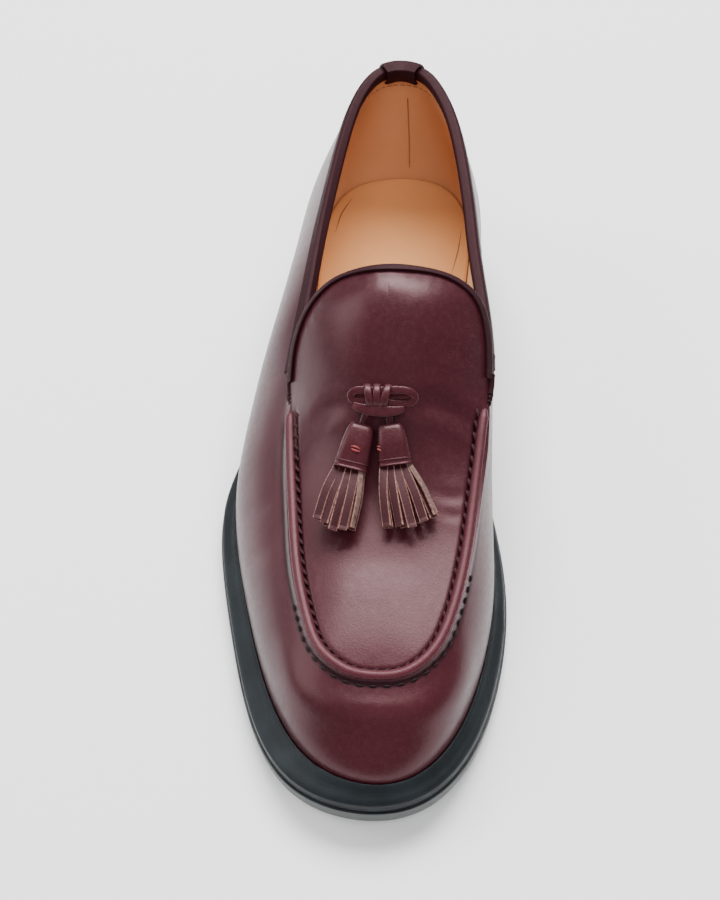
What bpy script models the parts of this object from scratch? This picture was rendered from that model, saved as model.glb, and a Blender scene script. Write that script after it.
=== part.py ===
"""Tassel loafer for the right foot. A welted rubber sole with a block heel carries a hollow leather
upper with a raised moccasin seam, a bound collar, a tongue and two tassels tied with a thong.
Metres, Z up. The toe points to -Y, and the inner side of the foot is at +X."""

from collections import namedtuple

import bmesh
import bpy
import numpy as np
from mathutils import Vector
from mathutils.bvhtree import BVHTree

for left_over in list(bpy.data.objects):
    bpy.data.objects.remove(left_over, do_unlink=True)

# Driving dimensions of the last and the sole.
LENGTH = 0.300
BALL_WIDTH = 0.1045
HEEL_WIDTH = 0.0700
INSTEP_RISE = 0.080
HEEL_HEIGHT = 0.0165
HEEL_LENGTH = 0.090
TOE_SPRING = 0.0072
OUTSOLE_THICKNESS = 0.0062
WELT_THICKNESS = 0.0048
WELT_LIP = 0.0030
WELT_REACH = 0.0070

# Leather, bindings and clearances.
WALL = 0.0022
RIDGE_HEIGHT = 0.0017
RIDGE_WIDTH = 0.0024
BINDING_THICKNESS = 0.0009
COLLAR_BINDING_REACH = 0.0036
TONGUE_BINDING_REACH = 0.0028
STRIP_THICKNESS = 0.0010
STRIP_TOP_WIDTH = 0.0160
STRIP_FOOT_WIDTH = 0.0090
STRIP_FOLD = 0.0070
GAP = 0.0003

# Sole edges.
OUTSOLE_TAPER = 0.0013
WELT_SETBACK = 0.0008
WELT_EDGE_ROUND = 0.25
HEEL_TAPER = 0.0012
HEEL_EDGE_ROUND = 0.0010
INSOLE_CLEARANCE = 0.0007
INSOLE_DROP = 0.0005
LIP_CLEARANCE = 0.0003

# Tassels and their knot.
CAP_LENGTH = 0.0150
CAP_TOP_WIDTH = 0.0076
CAP_FOOT_WIDTH = 0.0112
CAP_THICKNESS = 0.0072
STEM_WIDTH = 0.0024
STRIP_COLUMNS = 5
STRIP_LEATHER = 0.0013
STRIP_WIDTH = 0.0027
STRIP_FILL = 0.90
LATERAL_SKIRT_WIDTH = 0.0145
MEDIAL_SKIRT_WIDTH = 0.0195
THONG_RADIUS = 0.0015
WRAP_RADIUS = 0.0036
KNOT_LIFT = 0.0060
BAND_LIFT = 0.0056
STEM_TOP = 3.3
CAP_LIFT = 0.0068
FOOT_LIFT = 0.0054
SKIRT_LIFT = 0.0058

# How finely the curves are divided.
PER_ROW = 3
TONGUE_STEPS = 10

# One row for each station round the shoe: heel back, outer side, toe, inner side.
# along: share of LENGTH from the heel. across: share of the half width there, outer side negative.
# reach: share of WELT_REACH. top_along, top_across: the same for the collar or the seam above.
# top_rise and the four handles of the wall's curve: shares of INSTEP_RISE.
# swell and lift start the wall out of the welt, lean and drop bring it in to its top edge.
Station = namedtuple(
    "Station", "along across reach top_along top_across top_rise swell lift lean drop")
STATIONS = (
    Station(0.000, 0.00, 0.46, 0.031, 0.00, 0.741, 0.035, 0.175, 0.081, 0.250),
    Station(0.017, -0.57, 0.41, 0.041, -0.24, 0.754, 0.062, 0.175, 0.087, 0.250),
    Station(0.063, -0.91, 0.37, 0.077, -0.45, 0.730, 0.094, 0.163, 0.100, 0.263),
    Station(0.140, -1.04, 0.36, 0.140, -0.60, 0.669, 0.131, 0.138, 0.113, 0.250),
    Station(0.240, -1.05, 0.37, 0.240, -0.74, 0.551, 0.156, 0.125, 0.150, 0.212),
    Station(0.347, -1.09, 0.43, 0.333, -0.81, 0.475, 0.163, 0.125, 0.200, 0.163),
    Station(0.447, -1.10, 0.63, 0.427, -0.76, 0.435, 0.150, 0.125, 0.200, 0.113),
    Station(0.543, -1.14, 0.94, 0.517, -0.68, 0.450, 0.075, 0.150, 0.150, 0.113),
    Station(0.640, -1.10, 0.97, 0.640, -0.58, 0.395, 0.044, 0.163, 0.125, 0.075),
    Station(0.740, -0.98, 1.03, 0.740, -0.51, 0.371, 0.037, 0.150, 0.125, 0.062),
    Station(0.840, -0.83, 1.17, 0.810, -0.41, 0.348, 0.031, 0.138, 0.113, 0.050),
    Station(0.923, -0.64, 1.31, 0.857, -0.30, 0.327, 0.019, 0.113, 0.106, 0.040),
    Station(0.980, -0.35, 1.27, 0.884, -0.11, 0.310, 0.006, 0.094, 0.102, 0.033),
    Station(1.000, 0.06, 1.03, 0.890, 0.10, 0.302, 0.000, 0.087, 0.100, 0.030),
    Station(0.980, 0.42, 1.00, 0.882, 0.30, 0.310, 0.006, 0.094, 0.100, 0.033),
    Station(0.923, 0.67, 0.97, 0.853, 0.46, 0.336, 0.019, 0.113, 0.100, 0.040),
    Station(0.840, 0.82, 0.90, 0.807, 0.56, 0.376, 0.031, 0.138, 0.087, 0.062),
    Station(0.740, 0.89, 0.83, 0.733, 0.64, 0.432, 0.037, 0.150, 0.075, 0.087),
    Station(0.640, 0.86, 0.77, 0.640, 0.69, 0.510, 0.031, 0.163, 0.056, 0.125),
    Station(0.543, 0.77, 0.60, 0.537, 0.76, 0.592, 0.044, 0.175, 0.042, 0.163),
    Station(0.447, 0.77, 0.49, 0.427, 0.88, 0.583, 0.062, 0.175, 0.050, 0.188),
    Station(0.347, 0.86, 0.40, 0.333, 0.90, 0.602, 0.081, 0.163, 0.062, 0.212),
    Station(0.240, 0.93, 0.37, 0.240, 0.81, 0.656, 0.069, 0.150, 0.069, 0.237),
    Station(0.140, 0.95, 0.36, 0.140, 0.65, 0.714, 0.069, 0.150, 0.069, 0.250),
    Station(0.063, 0.82, 0.37, 0.075, 0.45, 0.743, 0.056, 0.163, 0.075, 0.263),
    Station(0.017, 0.51, 0.41, 0.041, 0.24, 0.754, 0.050, 0.175, 0.081, 0.250),
)
NOTCH_ROW = 7
TOE_ROW = 13

# The underside from heel to toe. heel: share of HEEL_HEIGHT. spring: share of TOE_SPRING.
# lip: share of WELT_LIP.
Profile = namedtuple("Profile", "along heel spring lip")
PROFILE = (
    Profile(0.000, 1.00, 0.00, 0.15),
    Profile(0.150, 0.97, 0.00, 0.15),
    Profile(0.300, 0.86, 0.00, 0.20),
    Profile(0.357, 0.73, 0.00, 0.30),
    Profile(0.447, 0.45, 0.00, 0.50),
    Profile(0.533, 0.18, 0.00, 0.80),
    Profile(0.617, 0.00, 0.00, 1.00),
    Profile(0.717, 0.00, 0.00, 1.00),
    Profile(0.800, 0.00, 0.11, 1.00),
    Profile(0.883, 0.00, 0.39, 1.00),
    Profile(0.950, 0.00, 0.72, 1.00),
    Profile(1.000, 0.00, 1.00, 1.00),
)

# The free edge of the tongue, from the outer notch over its tip to the inner notch.
Edge = namedtuple("Edge", "along across rise")
TONGUE_EDGE = (
    Edge(0.490, -0.69, 0.587),
    Edge(0.462, -0.64, 0.722),
    Edge(0.438, -0.40, 0.865),
    Edge(0.443, 0.05, 0.972),
    Edge(0.438, 0.51, 0.909),
    Edge(0.455, 0.78, 0.812),
    Edge(0.497, 0.80, 0.696),
)

# The crown line of plug and tongue, from the tongue's tip to the toe seam.
Crest = namedtuple("Crest", "along rise")
CREST = (
    Crest(0.440, 0.975),
    Crest(0.470, 0.981),
    Crest(0.500, 0.952),
    Crest(0.533, 0.883),
    Crest(0.567, 0.790),
    Crest(0.600, 0.686),
    Crest(0.633, 0.591),
    Crest(0.667, 0.525),
    Crest(0.710, 0.475),
    Crest(0.763, 0.430),
    Crest(0.817, 0.387),
    Crest(0.853, 0.351),
    Crest(0.890, 0.302),
)
CROWN_ACROSS = 0.06
SPINE_FRONT = 0.817
SPINE_BACK = 0.473
ARCH = 2.0

# The welt's section. out: share of its reach. level: share of its thickness. lip: share of the lip.
WeltPoint = namedtuple("WeltPoint", "out level lip")
WELT_SECTION = (
    WeltPoint(0.00, 0.00, 0.00),
    WeltPoint(1.00, 0.00, 0.00),
    WeltPoint(1.00, 1.00 - WELT_EDGE_ROUND, 0.00),
    WeltPoint(0.84, 1.00, 0.00),
    WeltPoint(0.45, 1.00, 0.30),
    WeltPoint(0.20, 1.00, 0.85),
    WeltPoint(0.00, 1.00, 1.00),
)

RING = len(STATIONS) * PER_ROW
HALF_RING = RING // 2
TOE = TOE_ROW * PER_ROW
NOTCH = NOTCH_ROW * PER_ROW
SEAM_STEPS = TOE - NOTCH
WALL_STEPS = (0.0, 0.12, 0.28, 0.45, 0.62, 0.78, 0.94, 1.0)
SHEET_STEPS = (0.20, 0.40, 0.60, 0.80, 1.00)


def closed_spline(values, at):
    """Read rows that close on themselves on a smooth curve, at places counted in rows."""
    values = np.asarray(values, float)
    count = len(values)
    lap = 4 * np.eye(count) + np.roll(np.eye(count), 1, 1) + np.roll(np.eye(count), -1, 1)
    slopes = np.linalg.solve(lap, 3 * (np.roll(values, -1, 0) - np.roll(values, 1, 0)))
    first = np.floor(at).astype(int) % count
    return hermite(values, slopes, first, (first + 1) % count, at - np.floor(at), 1.0)


def hermite(values, slopes, first, second, t, step):
    """Cubic between two rows with a slope at each."""
    t = np.asarray(t)[..., None] if values.ndim > 1 else np.asarray(t)
    step = np.asarray(step)[..., None] if values.ndim > 1 and np.ndim(step) else step
    turn = t * t * (3 - 2 * t)
    near = t * (1 - t) * (1 - t) * step
    far = t * t * (t - 1) * step
    start, end = values[first], values[second]
    return start + (end - start) * turn + slopes[first] * near + slopes[second] * far


def open_curve(knots, values, at):
    """Read a table between its rows on a cubic that doesn't overshoot them."""
    knots, values, at = (np.asarray(item, float) for item in (knots, values, at))
    step = np.diff(knots)
    rise = np.diff(values) / step
    product = rise[:-1] * rise[1:]
    total = np.where(product > 0, rise[:-1] + rise[1:], 1.0)
    slopes = np.concatenate(([rise[0]], np.where(product > 0, 2 * product / total, 0), [rise[-1]]))
    first = np.clip(np.searchsorted(knots, at, side="right") - 1, 0, len(step) - 1)
    place = np.clip((at - knots[first]) / step[first], 0, 1)
    return hermite(values, slopes, first, first + 1, place, step[first])


def column(table, name):
    return np.array([getattr(row, name) for row in table])


def half_width(along):
    """Half the sole's width, from the heel's over the waist to the ball's."""
    waist = np.clip((np.asarray(along) - 0.30) / 0.30, 0, 1)
    blend = waist * waist * (3 - 2 * waist)
    return 0.5 * (HEEL_WIDTH + (BALL_WIDTH - HEEL_WIDTH) * blend)


def underside(along):
    """Height of the outsole's lower face."""
    heel = open_curve(column(PROFILE, "along"), column(PROFILE, "heel"), along)
    spring = open_curve(column(PROFILE, "along"), column(PROFILE, "spring"), along)
    return heel * HEEL_HEIGHT + spring * TOE_SPRING


def lip_height(along):
    return open_curve(column(PROFILE, "along"), column(PROFILE, "lip"), along) * WELT_LIP


def feather(along):
    """Height of the line where the upper comes out of the welt."""
    return underside(along) + OUTSOLE_THICKNESS + WELT_THICKNESS + lip_height(along)


def crest(along):
    """Height of the crown line over plug and tongue."""
    return feather(along) + INSTEP_RISE * open_curve(
        column(CREST, "along"), column(CREST, "rise"), along)


def point(along, across, height):
    """Shoe coordinates in metres: across, distance from the heel's back, height."""
    along = np.asarray(along, float)
    return np.stack(np.broadcast_arrays(
        np.asarray(across) * half_width(along), along * LENGTH, height), -1)


def outline_at(at):
    """The sole's outline and its outward direction at places counted in rows."""
    def plan(place):
        ring = closed_spline(np.stack([column(STATIONS, "along"), column(STATIONS, "across")], 1),
                             place)
        return point(ring[..., 0], ring[..., 1], 0.0)
    edge = plan(at)
    run = plan(at + 0.01) - plan(at - 0.01)
    outward = np.stack([-run[..., 1], run[..., 0], np.zeros(len(edge))], -1)
    return edge, outward / np.linalg.norm(outward, axis=-1, keepdims=True)


AT = np.arange(RING) / PER_ROW
OUTLINE, OUTWARD = outline_at(AT)
READ = {name: closed_spline(column(STATIONS, name), AT) for name in Station._fields}
ALONG = OUTLINE[:, 1] / LENGTH
REACH = READ["reach"] * WELT_REACH
CENTRE_X = 0.5 * (OUTLINE[:, 0].min() + OUTLINE[:, 0].max())
UP = np.array([0.0, 0.0, 1.0])


def lifted(plan, height):
    """Plan points put at a height."""
    return np.column_stack([plan[:, 0], plan[:, 1], np.broadcast_to(height, len(plan))])


FOOT = OUTLINE - OUTWARD * REACH[:, None]


def world(points):
    """From shoe coordinates to the part's frame: toe to -Y, sole centred on the origin."""
    points = np.asarray(points, float)
    return np.stack(
        [points[..., 0] - CENTRE_X, LENGTH / 2 - points[..., 1], points[..., 2]], -1)


def shoe(points):
    """From the part's frame back to shoe coordinates."""
    points = np.asarray(points, float)
    return np.stack(
        [points[..., 0] + CENTRE_X, LENGTH / 2 - points[..., 1], points[..., 2]], -1)


def finish_material(name, colour, roughness):
    material = bpy.data.materials.new(name)
    material.use_nodes = True
    shader = material.node_tree.nodes["Principled BSDF"]
    shader.inputs["Base Color"].default_value = (*colour, 1.0)
    shader.inputs["Roughness"].default_value = roughness
    shader.inputs["Metallic"].default_value = 0.0
    return material


def solid(name, points, faces, colour, roughness, sharp=35.0):
    """Make one closed body from points in shoe coordinates and faces."""
    mesh = bpy.data.meshes.new(name)
    mesh.from_pydata([tuple(place) for place in world(points)], [], faces)
    work = bmesh.new()
    work.from_mesh(mesh)
    bmesh.ops.recalc_face_normals(work, faces=work.faces)
    work.to_mesh(mesh)
    work.free()
    mesh.shade_smooth()
    mesh.set_sharp_from_angle(angle=np.radians(sharp))
    mesh.materials.append(finish_material(name + "_finish", colour, roughness))
    item = bpy.data.objects.new(name, mesh)
    bpy.context.scene.collection.objects.link(item)
    return item


def unit(vectors):
    return vectors / np.linalg.norm(vectors, axis=-1, keepdims=True)


def bridge(lower, upper_loop, closed=True):
    """Quads between two loops of point numbers."""
    count = len(lower)
    last = count if closed else count - 1
    return [(lower[i], lower[(i + 1) % count], upper_loop[(i + 1) % count], upper_loop[i])
            for i in range(last)]


def across_strips(loop):
    """Fill a loop that starts at the heel's back, with strips from side to side."""
    count = len(loop)
    pairs = (count - 1) // 2
    strips = [(loop[0], loop[1], loop[count - 1])]
    strips += [(loop[i], loop[i + 1], loop[count - i - 1], loop[count - i])
               for i in range(1, pairs)]
    if count % 2 == 0:
        strips.append((loop[pairs], loop[pairs + 1], loop[pairs + 2]))
    return strips


def plate(name, rings, colour, roughness):
    """A plate from rings of the same length, lowest first, closed above and below."""
    points = np.concatenate(rings)
    count = len(rings[0])
    loops = [list(range(level * count, (level + 1) * count)) for level in range(len(rings))]
    faces = across_strips(loops[0]) + across_strips(loops[-1])
    for below, above in zip(loops, loops[1:]):
        faces += bridge(below, above)
    return solid(name, points, faces, colour, roughness)


def sweep(name, sections, colour, roughness, closed):
    """Join like sections in order. An open sweep is capped at both ends."""
    count = sections.shape[1]
    loops = [list(range(i * count, (i + 1) * count)) for i in range(len(sections))]
    faces = []
    for here, following in zip(loops, loops[1:]):
        faces += bridge(here, following)
    if closed:
        faces += bridge(loops[-1], loops[0])
    else:
        faces += [tuple(loops[0]), tuple(loops[-1])]
    return solid(name, sections.reshape(-1, 3), faces, colour, roughness)


RUBBER = (0.028, 0.031, 0.036)
RUBBER_EDGE = (0.075, 0.080, 0.086)
LEATHER = (0.105, 0.024, 0.028)
LEATHER_DARK = (0.062, 0.013, 0.017)
TAN = (0.560, 0.290, 0.120)


# Outsole: one plate with arch and toe spring, drawn in a little towards the floor.
def outsole_ring(inset, height_share):
    plan = OUTLINE - OUTWARD * inset
    return lifted(plan, underside(plan[:, 1] / LENGTH) + height_share * OUTSOLE_THICKNESS)


plate("outsole",
      [outsole_ring(OUTSOLE_TAPER, 0.0), outsole_ring(OUTSOLE_TAPER * 0.35, 0.25),
       outsole_ring(0.0, 1.0)], RUBBER_EDGE, 0.45)


# Welt: a band all round, with a sloping top and a lip that the upper comes out of.
def welt_sections():
    inner = FOOT + OUTWARD * GAP
    reach = REACH - GAP - WELT_SETBACK
    sections = []
    for row in WELT_SECTION:
        plan = inner + OUTWARD * (reach * row.out)[:, None]
        base = underside(ALONG) + OUTSOLE_THICKNESS + GAP
        top = base - GAP + WELT_THICKNESS
        lip = lip_height(ALONG) - LIP_CLEARANCE
        sections.append(lifted(plan, base + row.level * (top - base) + row.lip * lip))
    return np.stack(sections, 1)


sweep("welt", welt_sections(), RUBBER, 0.40, closed=True)


# Heel: a block under the outsole with a straight breast, flat on the floor.
def heel_loop(inset, height):
    """Half loops of the heel's outline from the breast round the back to the breast."""
    count = int(np.sum(ALONG[:HALF_RING] * LENGTH < HEEL_LENGTH))
    sides = []
    for order in (range(count, -1, -1), range(0, -count - 1, -1)):
        numbers = np.array(list(order)) % RING
        side = (OUTLINE - OUTWARD * inset)[numbers]
        outer, inside = (0, 1) if order.start else (-1, -2)
        share = (HEEL_LENGTH - side[inside, 1]) / (side[outer, 1] - side[inside, 1])
        side[outer] = side[inside] + share * (side[outer] - side[inside])
        sides.append(side)
    plan = np.concatenate([sides[0][::-1], sides[1][:0:-1]])
    return lifted(plan, height(plan[:, 1] / LENGTH))


plate("heel",
      [heel_loop(OUTSOLE_TAPER + HEEL_TAPER + HEEL_EDGE_ROUND, lambda along: 0 * along),
       heel_loop(OUTSOLE_TAPER + HEEL_TAPER, lambda along: 0 * along + HEEL_EDGE_ROUND),
       heel_loop(OUTSOLE_TAPER, lambda along: underside(along) - GAP)], RUBBER, 0.42)


# Insole: the footbed inside the upper, from the outsole up to the feather line.
def insole_ring(height):
    plan = FOOT - OUTWARD * (WALL + INSOLE_CLEARANCE)
    return lifted(plan, height(plan[:, 1] / LENGTH))


plate("insole",
      [insole_ring(lambda along: underside(along) + OUTSOLE_THICKNESS + GAP),
       insole_ring(lambda along: feather(along) - INSOLE_DROP)], TAN, 0.55)


# Upper: the wall from the welt up, and the plug and tongue that close it in front.
def tongue_edge():
    """The tongue's free edge, from the outer notch over the tip to the inner notch."""
    ends = [point(READ["top_along"][i], READ["top_across"][i],
                  feather(READ["top_along"][i]) + READ["top_rise"][i] * INSTEP_RISE)
            for i in (NOTCH, -NOTCH)]
    rows = np.array([point(row.along, row.across, feather(row.along) + row.rise * INSTEP_RISE)
                     for row in TONGUE_EDGE])
    rows = np.concatenate([ends[0][None], rows, ends[1][None]])
    at = np.linspace(0, len(rows) - 1, 2 * TONGUE_STEPS + 1)
    return np.stack([open_curve(np.arange(len(rows)), rows[:, axis], at) for axis in range(3)], 1)


def wall_rings():
    """Rings of the wall's outer face, from inside the welt up to collar and seam."""
    top = point(READ["top_along"], READ["top_across"],
                feather(READ["top_along"]) + READ["top_rise"] * INSTEP_RISE)
    foot = lifted(FOOT, feather(ALONG))
    outward = OUTWARD * INSTEP_RISE
    rise = UP * INSTEP_RISE
    low = foot + outward * READ["swell"][:, None] + rise * READ["lift"][:, None]
    high = top + outward * READ["lean"][:, None] - rise * READ["drop"][:, None]
    rings = [lifted(FOOT, underside(ALONG) + OUTSOLE_THICKNESS + GAP)]
    for t in WALL_STEPS:
        rings.append((1 - t) ** 3 * foot + 3 * t * (1 - t) ** 2 * low
                     + 3 * t * t * (1 - t) * high + t ** 3 * top)
    return np.array(rings)


def sheet_line(edge, step):
    """Points from one place on the sheet's edge to the crown line."""
    share = step / (SEAM_STEPS + TONGUE_STEPS)
    along = SPINE_FRONT + (SPINE_BACK - SPINE_FRONT) * share
    crown = np.array([CROWN_ACROSS * half_width(along), along * LENGTH])
    run = crown - edge[:2]
    width = np.hypot(*run)
    shares = np.array([0.55 * RIDGE_WIDTH / width, RIDGE_WIDTH / width, *SHEET_STEPS])
    plan = edge[:2] + run * shares[:, None]
    drop = crest(edge[1] / LENGTH) - edge[2]
    height = crest(plan[:, 1] / LENGTH) - drop * (1 - shares) ** ARCH
    return np.column_stack([plan, height])


def upper_surface():
    """Outer face of the upper: points, faces, ridge heights and the loops of its two edges."""
    rings = wall_rings()
    levels = len(rings)
    points = list(rings.reshape(-1, 3))
    numbers = np.arange(levels * RING).reshape(levels, RING)
    top = numbers[-1]
    faces = []
    for below, above in zip(numbers, numbers[1:]):
        faces += bridge(list(below), list(above))

    edge = tongue_edge()
    steps = SEAM_STEPS + TONGUE_STEPS
    sides = {}
    for side in (-1, 1):
        rows = []
        for step in range(steps + 1):
            shared = step in (0, steps) and side == 1
            if step <= SEAM_STEPS:
                start = top[(TOE + side * step) % RING]
            elif shared:
                start = sides[-1][step][0]
            else:
                count = step - SEAM_STEPS
                start = len(points)
                points.append(edge[count if side < 0 else 2 * TONGUE_STEPS - count])
            if shared:
                rows.append([start, *sides[-1][step][1:]])
                continue
            line = sheet_line(np.asarray(points[start]), step)
            row = [start]
            for order, place in enumerate(line):
                if side == 1 and order == len(line) - 1:
                    row.append(sides[-1][step][-1])
                    continue
                row.append(len(points))
                points.append(place)
            rows.append(row)
        sides[side] = rows
        for here, following in zip(rows, rows[1:]):
            pair = (following, here) if side < 0 else (here, following)
            faces += [(pair[0][k], pair[1][k], pair[1][k + 1], pair[0][k + 1])
                      for k in range(len(here) - 1)]

    points = np.array(points)
    ridge = np.zeros(len(points))
    for side in (-1, 1):
        for step in range(SEAM_STEPS):
            fade = min(1.0, 0.5 * (SEAM_STEPS - step))
            row = sides[side][step]
            ridge[row[0]] = RIDGE_HEIGHT * fade
            ridge[row[1]] = RIDGE_HEIGHT * fade * 0.8
            ridge[numbers[-2][(TOE + side * step) % RING]] = RIDGE_HEIGHT * fade * 0.2
    collar = [(int(top[i % RING]), int(numbers[-2][i % RING])) for i in range(NOTCH, -NOTCH - 1, -1)]
    inner_side = [(row[0], row[2]) for row in sides[1][SEAM_STEPS:]]
    outer_side = [(row[0], row[2]) for row in sides[-1][SEAM_STEPS:-1]]
    tongue = inner_side + outer_side[::-1]
    return points, faces, ridge, numbers, collar, tongue


def point_normals(points, faces):
    """Mean outward direction at each point of an open surface."""
    total = np.zeros_like(points)
    for face in faces:
        corners = points[list(face)]
        turn = np.cross(corners[2] - corners[0], corners[-1] - corners[1])
        for number in face:
            total[number] += turn
    return unit(total)


SURFACE, SURFACE_FACES, RIDGE, WALL_NUMBERS, COLLAR, TONGUE = upper_surface()
NORMALS = point_normals(SURFACE, SURFACE_FACES)
if np.dot(NORMALS[WALL_NUMBERS[0, HALF_RING]], OUTWARD[HALF_RING]) < 0:
    NORMALS = -NORMALS
OUTER = SURFACE + NORMALS * RIDGE[:, None]
INNER = SURFACE - NORMALS * WALL


def make_upper():
    count = len(SURFACE)
    faces = list(SURFACE_FACES)
    faces += [tuple(number + count for number in face[::-1]) for face in SURFACE_FACES]
    foot = [int(number) for number in WALL_NUMBERS[0]]
    mouth = [pair[0] for pair in COLLAR] + [pair[0] for pair in TONGUE[1:-1]]
    for loop in (foot, mouth):
        faces += bridge(loop, [number + count for number in loop])
    return solid("upper", np.concatenate([OUTER, INNER]), faces, LEATHER, 0.32)


UPPER = make_upper()


# Bindings: a folded leather strip over the collar's edge, and another over the tongue's.
def edge_frame(pair):
    """Middle of the wall at its edge, the wall's outward direction and the way up past it."""
    edge, inward = pair
    middle = 0.5 * (OUTER[edge] + INNER[edge])
    below = 0.5 * (OUTER[inward] + INNER[inward])
    across = unit(OUTER[edge] - INNER[edge])
    up = middle - below
    up = unit(up - across * np.dot(up, across))
    return np.stack([middle, across, up])


def frames_along(pairs, first, last):
    """Frames at each pair between two places, which may lie between pairs."""
    frames = np.array([edge_frame(pair) for pair in pairs])
    places = [first, *range(int(np.floor(first)) + 1, int(np.ceil(last))), last]
    found = []
    for place in places:
        low = min(int(place), len(frames) - 2)
        found.append(frames[low] + (place - low) * (frames[low + 1] - frames[low]))
    return np.array(found)


def binding_sections(frames, reach):
    near = WALL / 2 + GAP
    far = near + BINDING_THICKNESS
    crown = GAP + BINDING_THICKNESS
    shape = ((near, -reach), (far, -reach), (far, 0.0), (far * 0.6, crown), (-far * 0.6, crown),
             (-far, 0.0), (-far, -reach), (-near, -reach), (-near, GAP), (near, GAP))
    return np.stack([frames[:, 0] + frames[:, 1] * across + frames[:, 2] * up
                     for across, up in shape], 1)


COLLAR_START = 1.15
TONGUE_START = 0.90
sweep("collar_binding",
      binding_sections(frames_along(COLLAR, COLLAR_START, len(COLLAR) - 1 - COLLAR_START),
                       COLLAR_BINDING_REACH), LEATHER_DARK, 0.35, closed=False)
sweep("tongue_binding",
      binding_sections(frames_along(TONGUE, TONGUE_START, len(TONGUE) - 1 - TONGUE_START),
                       TONGUE_BINDING_REACH), LEATHER_DARK, 0.35, closed=False)


# Back strip: covers the back seam, runs over the collar's binding and folds down inside.
def read_across(places, rows, target):
    """Read points or directions at given distances across, between neighbouring rows."""
    order = np.argsort(places[:, 0])
    return np.column_stack([np.interp(target, places[order, 0], rows[order, axis])
                            for axis in range(3)])


def back_strip():
    """Sections from the welt up the back, over the collar and down inside, level by level."""
    columns = np.linspace(-1, 1, 5)
    near_back = np.arange(-4, 5) % RING
    near_side, far_side = [], []
    levels = WALL_NUMBERS[1:-2]
    for order, level in enumerate(levels):
        share = order / (len(levels) - 1)
        half = 0.5 * (STRIP_FOOT_WIDTH + (STRIP_TOP_WIDTH - STRIP_FOOT_WIDTH) * share)
        places = OUTER[level[near_back]]
        outward = unit(read_across(places, NORMALS[level[near_back]], columns * half))
        base = read_across(places, places, columns * half) + outward * GAP
        if order == 0:
            base = base + UP * 4 * LIP_CLEARANCE
        near_side.append(base)
        far_side.append(base + outward * STRIP_THICKNESS)

    frames = np.array([edge_frame((WALL_NUMBERS[-1][i], WALL_NUMBERS[-2][i])) for i in near_back])
    middle, across, up = (read_across(frames[:, 0], frames[:, part], columns * STRIP_TOP_WIDTH / 2)
                          for part in range(3))
    side = WALL / 2 + GAP + BINDING_THICKNESS + 2 * GAP
    crown = GAP + BINDING_THICKNESS + 2 * GAP
    fold = ((1.0, -COLLAR_BINDING_REACH - GAP), (1.0, 0.0), (0.6, crown),
            (-0.6, crown), (-1.0, 0.0), (-1.0, -STRIP_FOLD))
    for share, height in fold:
        over = STRIP_THICKNESS if height == crown else 0.0
        near_side.append(middle + across * share * side + up * height)
        far_side.append(middle + across * share * (side + STRIP_THICKNESS) + up * (height + over))
    return np.array([np.concatenate([low, high[::-1]]) for low, high in zip(near_side, far_side)])


sweep("back_strip", back_strip(), LEATHER_DARK, 0.35, closed=False)


# Knot: the thong's two flat loops, the wrap that holds them, a band below and the root.
TREE = BVHTree.FromObject(UPPER, bpy.context.evaluated_depsgraph_get())


def skin_height(place):
    """Height of the upper's outer face over a place given across and along."""
    spot = world([place[0], place[1], 0.0])
    hit = TREE.ray_cast(Vector((spot[0], spot[1], 1.0)), Vector((0, 0, -1)))
    return hit[0].z


def on_skin(across, along, lift=0.0):
    """A point over the upper, across and along as shares, raised by a real height."""
    plan = point(along, across, 0.0)
    return np.array([plan[0], plan[1], skin_height(plan) + lift])


KNOT_ALONG = 0.588
KNOT_ACROSS = 0.04
KNOT_SEAT = on_skin(KNOT_ACROSS, KNOT_ALONG)
KNOT_ACROSS_WAY = np.array([1.0, 0.0, 0.0])
KNOT_DOWN_WAY = unit(on_skin(KNOT_ACROSS, KNOT_ALONG + 0.02)
                     - on_skin(KNOT_ACROSS, KNOT_ALONG - 0.02))
KNOT_OUT_WAY = np.cross(KNOT_DOWN_WAY, KNOT_ACROSS_WAY)
if KNOT_OUT_WAY[2] < 0:
    KNOT_OUT_WAY = -KNOT_OUT_WAY


def knot_point(across, down, out):
    """A place on the knot, from its seat: across and down the tongue in thong radii, and the
    real height over the tongue."""
    return (KNOT_SEAT + KNOT_ACROSS_WAY * across * THONG_RADIUS
            + KNOT_DOWN_WAY * down * THONG_RADIUS + KNOT_OUT_WAY * out)


def tube(name, path, radii, sides=8, closed=False, flat=1.0):
    """A round or flat tube along points in shoe coordinates."""
    path = np.asarray(path, float)
    radii = np.broadcast_to(radii, len(path))
    if closed:
        run = np.roll(path, -1, 0) - np.roll(path, 1, 0)
    else:
        run = np.gradient(path, axis=0)
    run = unit(run)
    side = unit(np.cross(run, KNOT_OUT_WAY) + 1e-6 * KNOT_ACROSS_WAY)
    out = np.cross(side, run)
    turn = np.linspace(0, 2 * np.pi, sides, endpoint=False) + np.pi / sides
    sections = np.stack([path + side * (radii * np.cos(angle))[:, None]
                         + out * (radii * flat * np.sin(angle))[:, None] for angle in turn], 1)
    return sweep(name, sections, LEATHER_DARK, 0.38, closed)


def loop_path(centre, half_across, half_down, steps=12):
    angles = np.linspace(0, 2 * np.pi, steps, endpoint=False)
    return [knot_point(centre[0] + half_across * np.cos(angle),
                       centre[1] + half_down * np.sin(angle), centre[2]) for angle in angles]


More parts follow.
